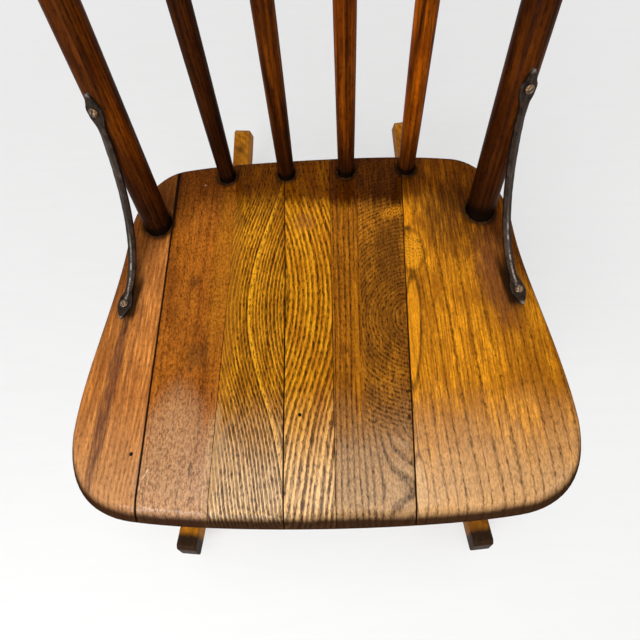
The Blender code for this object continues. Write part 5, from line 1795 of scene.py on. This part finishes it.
@dataclass
class Braces:
    """Two bent iron braces with spear-shaped pads, each held by two slotted screws."""

    back: Back
    height: float = 0.128
    angle: float = math.radians(77)
    foot: Span = (0.1928, -0.0700)
    toe: float = 0.14
    post_reach: float = 0.0100
    seat_reach: float = 0.0720
    width: float = 0.0076
    thickness: float = 0.0050
    neck_width: float = 0.0070
    pad_width: float = 0.0140
    pad_thickness: float = 0.0032
    pad_flat: float = 0.0060
    pad_taper: float = 0.024
    tip: float = 0.0155
    tip_width: float = 0.0016
    crown_taper: float = 0.02
    crowns: Span = (0.22, 0.74)
    crown_powers: Span = (2.2, 1.0)
    back_power: float = 4.0
    hammer: float = 0.00018
    look: float = 0.003
    steps: Counts = (96, 12, 4)
    # Where the painted highlight runs along the top of each bar, strongest on its lower half.
    bright_from: Span = (0.05, 0.45)
    bright_to: Span = (0.78, 0.92)
    bright_least: float = 0.08
    ridge_width: float = 0.34
    screw_head: float = 0.0042
    screw_rise: float = 0.0026
    slot_width: float = 0.0016
    slot_depth: float = 0.0013
    # How wide and how deep the dark floor of each slot reaches.
    slot_dirt_width: float = 0.6
    slot_dirt_depth: float = 0.8
    screw_shank: Span = (0.006, 0.0019)
    screw_sides: int = 36
    screw_turns: dict[str, Span] = field(default_factory=lambda: {"left": (1.2, 1.9), "right": (0.5, 1.4)})
    fit: float = 0.0003

    def path(self, side: Side) -> tuple[list[Vector], Vector]:
        """Middle line of a brace from tip to tip, and the way its upper pad faces."""
        upwards = (self.back.post_point(side, 1) - self.back.post_point(side, 0)).normalized()
        facing = Vector((side.value * math.cos(self.angle), -math.sin(self.angle), 0))
        normal = (facing - upwards * facing.dot(upwards)).normalized()
        lift = self.pad_thickness / 2 + self.fit
        top = self.back.post_point(side, self.height) + normal * (self.back.post_radius + lift)
        foot = Vector((side.value * self.foot[0], self.foot[1], lift))
        forwards = Vector((side.value * self.toe, -1, 0)).normalized()
        start = top - upwards * self.pad_flat
        end = foot - forwards * self.pad_flat
        curve = interpolate_bezier(start, start - upwards * self.post_reach, end - forwards * self.seat_reach,
                                   end, 60)
        points = [top + upwards * self.tip, *curve, foot + forwards * self.tip]
        return points, normal

    def outline(self, from_tip: float, whole: float) -> tuple[float, float]:
        """Width and thickness of the bar at a distance from its tip.

        Args:
            from_tip: Distance along the bar from the nearer tip.
            whole: Length of the bar.

        Returns:
            Width and thickness.
        """
        pad_end = self.tip + self.pad_flat
        widths = ((0.0, self.tip_width), (self.tip * 0.42, self.pad_width * 0.62),
                  (self.tip * 0.88, self.pad_width), (self.tip + 0.0035, self.pad_width * 0.95),
                  (pad_end + 0.010, self.neck_width), (pad_end + 0.030, self.width), (whole, self.width))
        for near, far in zip(widths, widths[1:]):
            if from_tip <= far[0]:
                share = eased(from_tip, near[0], far[0]) if near[0] else from_tip / far[0]
                width = mix(near[1], far[1], share)
                break
        bar = eased(from_tip, pad_end, pad_end + self.pad_taper)
        return width, mix(self.pad_thickness, self.thickness, bar)

    def bar(self, side: Side) -> Solid:
        """One bar with a rounded outer face, bevelled edges and faint hammer flats."""
        points, post_normal = self.path(side)
        travelled = [0.0]
        for near, far in zip(points, points[1:]):
            travelled.append(travelled[-1] + (far - near).length)
        whole = travelled[-1]
        seat_normal = Vector((0, 0, 1))

        def at(distance: float) -> Vector:
            for index in range(1, len(points)):
                if distance <= travelled[index] or index == len(points) - 1:
                    length = travelled[index] - travelled[index - 1]
                    return points[index - 1].lerp(points[index], (distance - travelled[index - 1]) / length)
            return points[-1]

        def place(point: Vector) -> Vector:
            u, v, w = point
            distance = whole * (u + 1) / 2
            middle = at(distance)
            along = (at(min(whole, distance + self.look)) - at(max(0.0, distance - self.look))).normalized()
            share = eased(distance, self.tip, whole - self.tip)
            normal = post_normal.slerp(seat_normal, share)
            normal = (normal - along * normal.dot(along)).normalized()
            from_tip = min(distance, whole - distance)
            width, thickness = self.outline(from_tip, whole)
            pad_end = self.tip + self.pad_flat
            bar = eased(from_tip, pad_end, pad_end + self.crown_taper)
            if w > 0:
                crown = 1 - mix(*self.crowns, bar) * abs(v) ** mix(*self.crown_powers, bar)
                flats = math.sin(distance * 410 + 2.1 * v) * math.sin(distance * 173 + 1.7)
                hammer = self.hammer * flats * bar
            else:
                crown = 1 - self.crowns[0] * abs(v) ** self.back_power
                hammer = 0.0
            lift = w * crown * thickness / 2 + hammer
            return middle + along.cross(normal) * v * width / 2 + normal * lift

        bm = lattice_box(self.steps)
        # The ridge layer holds the painted highlight along the top of the bar.
        ridge = bm.verts.layers.float.new(RIDGE_HIGHLIGHT)
        for vert in bm.verts:
            rubbed = mix(self.bright_least, 1.0, eased(vert.co.x, *self.bright_from))
            rubbed *= 1.0 - eased(vert.co.x, *self.bright_to)
            on_top = vert.co.z > 1 - MERGE
            vert[ridge] = rubbed * eased(-abs(vert.co.y), -self.ridge_width, 0.0) if on_top else 0.0
            vert.co = place(vert.co)
        bmesh.ops.remove_doubles(bm, verts=bm.verts, dist=MERGE)
        bmesh.ops.recalc_face_normals(bm, faces=bm.faces)
        return bm

    def screw(self, turn: float) -> Solid:
        """A round-headed screw with its slot turned by an angle; the head stands above Z = 0."""
        radius, rise = self.screw_head, self.screw_rise
        length, shank = self.screw_shank
        dome = ((0.0, 0.97), (0.12, 1.0), (0.36, 0.95), (0.66, 0.76), (0.88, 0.48), (1.0, 0.12))
        stations = [(-length, shank), (0.0, shank), *((rise * up, radius * out) for up, out in dome)]
        bm = turning(stations, self.screw_sides, 0.0004)
        half = Vector((radius * 2, self.slot_width / 2, self.slot_depth))
        slot = shaped_box((1, 1, 1), lambda point: Vector((point.x * half.x, point.y * half.y,
                                                           rise + point.z * half.z)))
        bmesh.ops.rotate(slot, verts=slot.verts, cent=(0, 0, 0), matrix=Matrix.Rotation(turn, 3, "Z"))
        return carved(bm, [slot])

    def build(self, iron: Material, brass: Material) -> None:
        """Make and dress both braces and their screws."""
        for side in Side:
            points, post_normal = self.path(side)
            upwards = (points[0] - points[1]).normalized()
            forwards = (points[-1] - points[-2]).normalized()
            name = f"brace_{side.label}"
            finished(name, Slot.IRON).hand_over(self.bar(side), SEAT_FRAME, iron, lambda point: point)
            places = (("post", points[0] - upwards * self.tip, post_normal),
                      ("seat", points[-1] - forwards * self.tip, Vector((0, 0, 1))))
            for turn, (end, middle, normal) in zip(self.screw_turns[side.label], places):
                head = middle + normal * (self.pad_thickness / 2 + self.fit)
                title = f"brace_screw_{side.label}_{end}"
                finished(title, Slot.BRASS).hand_over(
                    self.screw(turn), SEAT_FRAME @ axis_frame(head, head + normal), brass,
                    lambda point: point, self.slot_dirt(turn))

    def slot_dirt(self, turn: float) -> Masks:
        """The mask of the darkened floor of a screw's slot."""
        across = Vector((-math.sin(turn), math.cos(turn), 0))
        half = self.slot_dirt_width * self.slot_width
        floor = self.screw_rise - self.slot_dirt_depth * self.slot_depth
        return {FOOT_DIRT_AND_SHADE: lambda point: float(abs(point.dot(across)) < half and 0.0 < point.z < floor)}


# Rockers, legs and stretchers


@dataclass
class Rockers:
    """The two curved rockers, closer together at the back."""

    radius: float = 1.100
    front_reach: float = 0.306
    rear_reach: float = 0.409
    flat: float = 0.030
    toe: float = math.radians(5.13)
    half_track: float = 0.1787
    thickness: float = 0.028
    depth: float = 0.042
    tip_depth: float = 0.036
    nose_depth: float = 0.030
    nose_length: float = 0.006
    edge: float = 0.0022
    steps: Counts = (6, 150, 8)
    corner: float = math.radians(50)
    # The nose is painted dark for stain and shade over its end and the last of its top; the nose shade adds
    # painted shade over the top, more on the right.
    nose_stain: float = 0.016
    nose_stain_core: float = 0.2
    nose_stain_share: float = 0.97
    nose_shade: Span = (0.06, 0.34)
    nose_shade_reach: Span = (0.08, 0.03)
    smudge: Triple = (0.012, 0.018, 0.010)
    smudge_soft: float = 1.2
    smudge_share: float = 0.60

    def place(self, side: Side) -> Matrix:
        """The frame of one rocker: its origin is where it meets the floor and +Y runs back along it."""
        contact = (self.front_reach - self.rear_reach) * math.cos(self.toe) / 2
        return (Matrix.Translation((side.value * self.half_track, contact, 0))
                @ Matrix.Rotation(side.value * self.toe, 4, "Z"))

    def depth_at(self, angle: float) -> float:
        """Depth of the rocker's board, square to its arc, drawn in towards both ends."""
        reach = self.front_reach if angle < 0 else self.rear_reach
        return mix(self.depth, self.tip_depth, (abs(angle) * self.radius / reach) ** 2)

    def point(self, angle: float, depth: float) -> Vector:
        """A point of the profile, a depth up from the lower edge."""
        flat = self.flat / 2 / self.radius
        lowest = self.radius * math.cos(flat)
        reach = self.radius - depth
        height = lowest - reach * math.cos(max(abs(angle), flat) if depth < MERGE else angle)
        return Vector((0, reach * math.sin(angle), height))

    def board(self, shade: float) -> Solid:
        """One rocker in its own frame, with rounded noses, eased edges, and a dark stain with painted shade
        on its nose.
        """
        front = math.asin(self.front_reach / self.radius)
        rear = math.asin(self.rear_reach / self.radius)

        def place(point: Vector) -> Vector:
            u, v, w = point
            angle = mix(-front, rear, (v + 1) / 2)
            from_tip = min(angle + front, rear - angle) * self.radius
            share = min(1.0, from_tip / self.nose_length)
            depth = mix(self.nose_depth, self.depth_at(angle), math.sqrt(1 - (1 - share) ** 2))
            return self.point(angle, depth * (w + 1) / 2) + Vector((u * self.thickness / 2, 0, 0))

        bm = shaped_box(self.steps, place)
        bm.normal_update()
        corners = [edge for edge in bm.edges if edge.calc_face_angle(0.0) > self.corner]
        bmesh.ops.bevel(bm, geom=corners, offset=self.edge, segments=3, profile=0.5, affect="EDGES",
                        material=-1, clamp_overlap=True)
        # Painted stain and shade on the nose, and a stain smudge near the rear end.
        stain_and_shade = bm.verts.layers.float.new(END_STAIN_AND_SHADE)
        for vert in bm.verts:
            arc = math.asin(max(-1.0, min(1.0, vert.co.y / (self.radius - vert.co.z))))
            ahead = (arc + front) * self.radius
            behind = (rear - arc) * self.radius
            far = math.hypot((behind - self.smudge[0]) / self.smudge[1], vert.co.x / self.smudge[2])
            nose = eased(-ahead, -self.nose_stain, -self.nose_stain_core * self.nose_stain)
            start, full = self.nose_shade_reach
            vert[stain_and_shade] = max(self.nose_stain_share * nose, shade * eased(-ahead, -start, -full),
                              self.smudge_share * eased(-far, -self.smudge_soft, 0.0))
        return bm

    def build(self, wood: Material) -> None:
        """Make and dress both rockers."""
        for side, shade in zip(Side, self.nose_shade):
            offset = Vector((0.02 * side.value, 0.9 + 0.5 * side.value, 0.0))
            name = f"rocker_{side.label}"
            finished(name, Slot.ROCKER).hand_over(
                self.board(shade), self.place(side), wood, lambda point, shift=offset: point + shift)


@dataclass
class Undercarriage:
    """Four turned legs, pegged into the rockers, and the seven stretchers between them."""

    rockers: Rockers
    thinned: float = 0.32
    seat_thickness: float = 0.032
    front_head: Span = (0.174, -0.195)
    rear_head: Span = (0.128, 0.030)
    front_foot_ahead: float = 0.2087
    rear_foot_behind: float = 0.1140
    head_radius: float = 0.0105
    foot_radius: float = 0.0090
    ankle_radius: float = 0.0150
    shaft_radius: float = 0.0172
    groove_radius: float = 0.0138
    ring_radius: float = 0.0192
    vase_radius: float = 0.0165
    peg_radius: float = 0.003
    peg_drop: float = 0.013
    front_heights: Span = (0.150, 0.235)
    side_front_heights: Span = (0.112, 0.193)
    side_rear_heights: Span = (0.108, 0.186)
    rear_height: float = 0.147
    tenon_radius: float = 0.0060
    swell_radius: float = 0.0095
    set_back: float = 0.0045
    taper: float = 0.024
    bulb_radius: float = 0.0135
    waist_radius: float = 0.0080
    bulb_length: float = 0.060
    leg_sides: int = 48
    stretcher_sides: int = 36
    peg_sides: int = 28
    peg_rise: float = 0.0007
    leg_seed: int = 11
    stretcher_seed: int = 20

    def leg_ends(self, side: Side, place: Place) -> tuple[Vector, Vector]:
        """A leg's foot on the rocker's upper edge and its head at the underside of the seat."""
        along = -self.front_foot_ahead if place is Place.FRONT else self.rear_foot_behind
        head_x, head_y = self.front_head if place is Place.FRONT else self.rear_head
        angle = along / self.rockers.radius
        foot = self.rockers.place(side) @ self.rockers.point(angle, self.rockers.depth_at(angle))
        return foot, SEAT_FRAME @ Vector((side.value * head_x, head_y, -self.seat_thickness))

    def leg_point(self, side: Side, place: Place, height: float) -> Vector:
        """The point of a leg's axis at a height above the floor."""
        foot, head = self.leg_ends(side, place)
        return foot.lerp(head, (height - foot.z) / (head.z - foot.z))

    def leg_stations(self, length: float) -> list[Station]:
        """Height along a leg and radius: a swelled shaft, a ring between two fine beads, and a vase."""
        foot, ankle, shaft = self.foot_radius, self.ankle_radius, self.shaft_radius
        groove, ring, vase, head = self.groove_radius, self.ring_radius, self.vase_radius, self.head_radius
        places = ((0.05, mix(foot, ankle, 0.55)), (0.14, ankle), (0.34, mix(ankle, shaft, 0.8)),
                  (0.52, shaft), (0.66, mix(ankle, shaft, 0.6)), (0.672, mix(ankle, shaft, 0.5)),
                  (0.682, groove), (0.690, groove), (0.698, ring * 0.84), (0.706, groove * 1.05),
                  (0.714, ring * 0.97), (0.725, ring), (0.736, ring * 0.97), (0.744, groove * 1.05),
                  (0.752, ring * 0.84), (0.760, groove), (0.770, groove), (0.81, vase), (0.86, vase),
                  (0.94, mix(head, vase, 0.3)))
        return [(-0.014, foot), (foot * 0.3, foot), *((length * share, radius) for share, radius in places),
                (length - head * 0.5, head), (length + 0.012, head)]

    def plain_stations(self, length: float) -> list[Station]:
        """A stretcher with a long even swell."""
        shoulder = mix(self.tenon_radius, self.swell_radius, 0.75)
        return [(0.0, self.tenon_radius), (self.taper, self.tenon_radius), (length * 0.25, shoulder),
                (length * 0.5, self.swell_radius), (length * 0.75, shoulder),
                (length - self.taper, self.tenon_radius), (length, self.tenon_radius)]

    def bulb_stations(self, length: float) -> list[Station]:
        """A front stretcher: a turned bulb between two waists, each with a fine bead."""
        middle, half, waist = length / 2, self.bulb_length / 2, self.waist_radius
        places = ((1.16, waist * 1.02), (1.10, waist), (1.03, waist * 1.28), (0.96, waist), (0.88, waist),
                  (0.72, self.swell_radius), (0.35, mix(self.swell_radius, self.bulb_radius, 0.8)))
        left = [(0.0, self.tenon_radius), (self.taper, self.tenon_radius),
                (mix(self.taper, middle - half, 0.55), self.swell_radius),
                *((middle - half * share, radius) for share, radius in places)]
        right = [(length - height, radius) for height, radius in reversed(left)]
        return left + [(middle, self.bulb_radius)] + right

    def build_legs(self, wood: Material, peg: Material) -> None:
        """Make and dress the legs and the pegs that lock them."""
        stands = [(side, place) for side in Side for place in Place]
        for seed, (side, place) in enumerate(stands, self.leg_seed):
            foot, head = self.leg_ends(side, place)
            name = f"{place.value}_leg_{side.label}"
            finished(name, Slot.TURNED).hand_over(
                turning(self.leg_stations((head - foot).length), self.leg_sides), axis_frame(foot, head),
                wood, round_grain(seed), {THINNED_AND_LIT: lambda point: self.thinned})
            self.build_peg(name, side, foot - (head - foot).normalized() * self.peg_drop, peg)

    def build_peg(self, leg: str, side: Side, middle: Vector, peg: Material) -> None:
        """A peg with two domed ends through a rocker and the foot of a leg."""
        across = self.rockers.place(side).to_3x3() @ Vector((1, 0, 0))
        local = self.rockers.place(side).inverted() @ middle
        centre = middle - across * local.x
        reach = self.rockers.thickness / 2 + self.peg_rise
        dome = [(-reach, self.peg_radius * 0.45), (0.0003 - reach, self.peg_radius * 0.82),
                (0.0008 - reach, self.peg_radius)]
        stations = dome + [(-height, radius) for height, radius in reversed(dome)]
        finished(f"{leg}_peg", Slot.PEG).hand_over(
            turning(stations, self.peg_sides, 0.004), axis_frame(centre, centre + across), peg,
            round_grain(1))

    def build_stretchers(self, wood: Material) -> None:
        """Make and dress two stretchers in front, two on each side and one behind."""
        levels = ("lower", "upper")
        runs = []
        for level, height in zip(levels, self.front_heights):
            runs.append((f"front_stretcher_{level}", self.leg_point(Side.LEFT, Place.FRONT, height),
                         self.leg_point(Side.RIGHT, Place.FRONT, height), self.bulb_stations))
        for side in Side:
            for level, ahead, behind in zip(levels, self.side_front_heights, self.side_rear_heights):
                runs.append((f"side_stretcher_{side.label}_{level}", self.leg_point(side, Place.FRONT, ahead),
                             self.leg_point(side, Place.REAR, behind), self.plain_stations))
        runs.append(("rear_stretcher", self.leg_point(Side.LEFT, Place.REAR, self.rear_height),
                     self.leg_point(Side.RIGHT, Place.REAR, self.rear_height), self.plain_stations))
        for seed, (name, start, end, stations) in enumerate(runs, self.stretcher_seed):
            along = (end - start).normalized()
            near, far = start + along * self.set_back, end - along * self.set_back
            finished(name, Slot.TURNED).hand_over(
                turning(stations((far - near).length), self.stretcher_sides), axis_frame(near, far), wood,
                round_grain(seed), {THINNED_AND_LIT: lambda point: self.thinned})


# Studio


@dataclass(frozen=True)
class Lamp:
    """A rectangular lamp: where it hangs, where it points, its size and its power."""

    name: str
    place: Triple
    aim: Triple
    width: float
    depth: float
    power: float

    def hang(self) -> None:
        """Put the lamp into the scene."""
        data = bpy.data.lights.new(self.name, "AREA")
        data.shape = "RECTANGLE"
        data.size, data.size_y, data.energy = self.width, self.depth, self.power
        lamp = put_in_scene(self.name, data)
        lamp.location = self.place
        lamp.rotation_euler = (Vector(self.aim) - Vector(self.place)).to_track_quat("-Z", "Y").to_euler()


@dataclass
class Studio:
    """A pale floor, soft light from above and the camera in front of the sitter's place."""

    floor_size: float = 14.0
    fade: float = 2.4
    eye: Triple = (0.020238, -0.277174, 0.425248)
    pitch: float = math.radians(66.522)
    yaw: float = math.radians(-5.894)
    roll: float = math.radians(7.424)
    lens_pixels: float = 481.025
    image_pixels: float = 640.0
    sensor: float = 36.0
    fade_from: float = 0.5
    floor_glow: float = 0.45
    world_light: float = 0.36
    lamps: tuple[Lamp, ...] = (
        Lamp("overhead", (-0.10, -0.46, 2.20), (-0.10, -0.46, 0.36), 1.30, 1.50, 20.2),
        Lamp("fill", (-1.70, -1.30, 1.55), (0.0, 0.0, 0.45), 1.4, 1.2, 5.0),
        Lamp("right", (1.60, -0.70, 1.60), (0.0, 0.0, 0.45), 1.0, 1.0, 5.0),
        Lamp("window", (-0.55, -1.55, 0.68), (0.0, -0.30, 0.35), 0.9, 0.20, 7.0),
        Lamp("glint", (-0.58, -1.15, 1.50), (-0.10, -0.28, 0.36), 0.80, 0.20, 7.5),
    )

    def build_floor(self) -> None:
        """A pale matt floor that keeps the chair's soft shadow."""
        bm = bmesh.new()
        bmesh.ops.create_grid(bm, x_segments=8, y_segments=8, size=self.floor_size / 2)
        mesh = bpy.data.meshes.new("floor")
        bm.to_mesh(mesh)
        bm.free()
        floor = put_in_scene("floor", mesh)
        material, sheet, shader = Finishes.blank("floor_cloth")
        place = sheet.add("ShaderNodeTexCoord").outputs["Object"]
        weave = sheet.noise(place, (9.0, 60.0, 1.0), 3.0, 0.6)
        cloth = sheet.blend(weave, (0.80, 0.80, 0.795), (0.86, 0.86, 0.855))
        sheet.fill(shader, {"Base Color": cloth, "Roughness": 0.9, "Specular IOR Level": 0.1})
        glow = sheet.add("ShaderNodeEmission", {"Strength": 1.0})
        far = sheet.add("ShaderNodeVectorMath", {0: place}, operation="LENGTH").outputs["Value"]
        share = sheet.span(sheet.rise(far, self.fade_from, self.fade), self.floor_glow, 1.0)
        share = sheet.times(sheet.seen(), share)
        mixed = sheet.add("ShaderNodeMixShader", {0: share, 1: shader.outputs[0], 2: glow.outputs[0]})
        sheet.feed(material.node_tree.nodes["Material Output"].inputs["Surface"], mixed.outputs[0])
        mesh.materials.append(material)
        floor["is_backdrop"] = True

    def build_lights(self) -> None:
        """A broad lamp over the front of the seat, weaker ones around it and a plain pale world."""
        for lamp in self.lamps:
            lamp.hang()
        world = bpy.data.worlds.new("studio")
        world.use_nodes = True
        bpy.context.scene.world = world
        sheet = NodeSheet(world.node_tree)
        backdrop = world.node_tree.nodes["Background"]
        sheet.fill(backdrop, {"Color": (1.0, 1.0, 1.0),
                              "Strength": sheet.span(sheet.seen(), self.world_light, 1.0)})

    def build_camera(self) -> None:
        """The photograph's camera, set out in the seat frame."""
        pitch, yaw, roll = self.pitch, self.yaw, self.roll
        forwards = Vector((math.sin(yaw) * math.cos(pitch), math.cos(yaw) * math.cos(pitch),
                           -math.sin(pitch)))
        level = Vector((math.cos(yaw), -math.sin(yaw), 0))
        plumb = forwards.cross(level)
        right = level * math.cos(roll) + plumb * math.sin(roll)
        down = plumb * math.cos(roll) - level * math.sin(roll)
        turn = Matrix((right, -down, -forwards)).transposed()
        data = bpy.data.cameras.new("camera")
        data.sensor_width = self.sensor
        data.lens = self.sensor * self.lens_pixels / self.image_pixels
        data.clip_start = 0.01
        camera = put_in_scene("camera", data)
        camera.matrix_world = SEAT_FRAME @ Matrix.Translation(self.eye) @ turn.to_4x4()
        bpy.context.scene.camera = camera

    def build(self) -> None:
        """Set up the floor, the light and the camera."""
        self.build_floor()
        self.build_lights()
        self.build_camera()
        bpy.context.scene.view_settings.view_transform = "Standard"


def main() -> None:
    """Build and dress the chair, piece by piece, and work out the CAD box and the visual box."""
    logging.basicConfig(level=logging.INFO, format="%(name)s: %(message)s")
    Studio().build()
    finishes = Finishes()
    turned_wood, peg_wood = finishes.turned(), finishes.peg()
    Seat().build(finishes, peg_wood)
    back = Back()
    back.build(turned_wood, peg_wood)
    Braces(back).build(finishes.iron(), finishes.brass())
    rockers = Rockers()
    rockers.build(finishes.rocker())
    under = Undercarriage(rockers)
    under.build_legs(turned_wood, peg_wood)
    under.build_stretchers(turned_wood)
    boxes = {"cad": CAD_BOX, "visual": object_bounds()}
    {name: [list(corner) for corner in box] for name, box in boxes.items()}


if __name__ == "__main__":
    main()
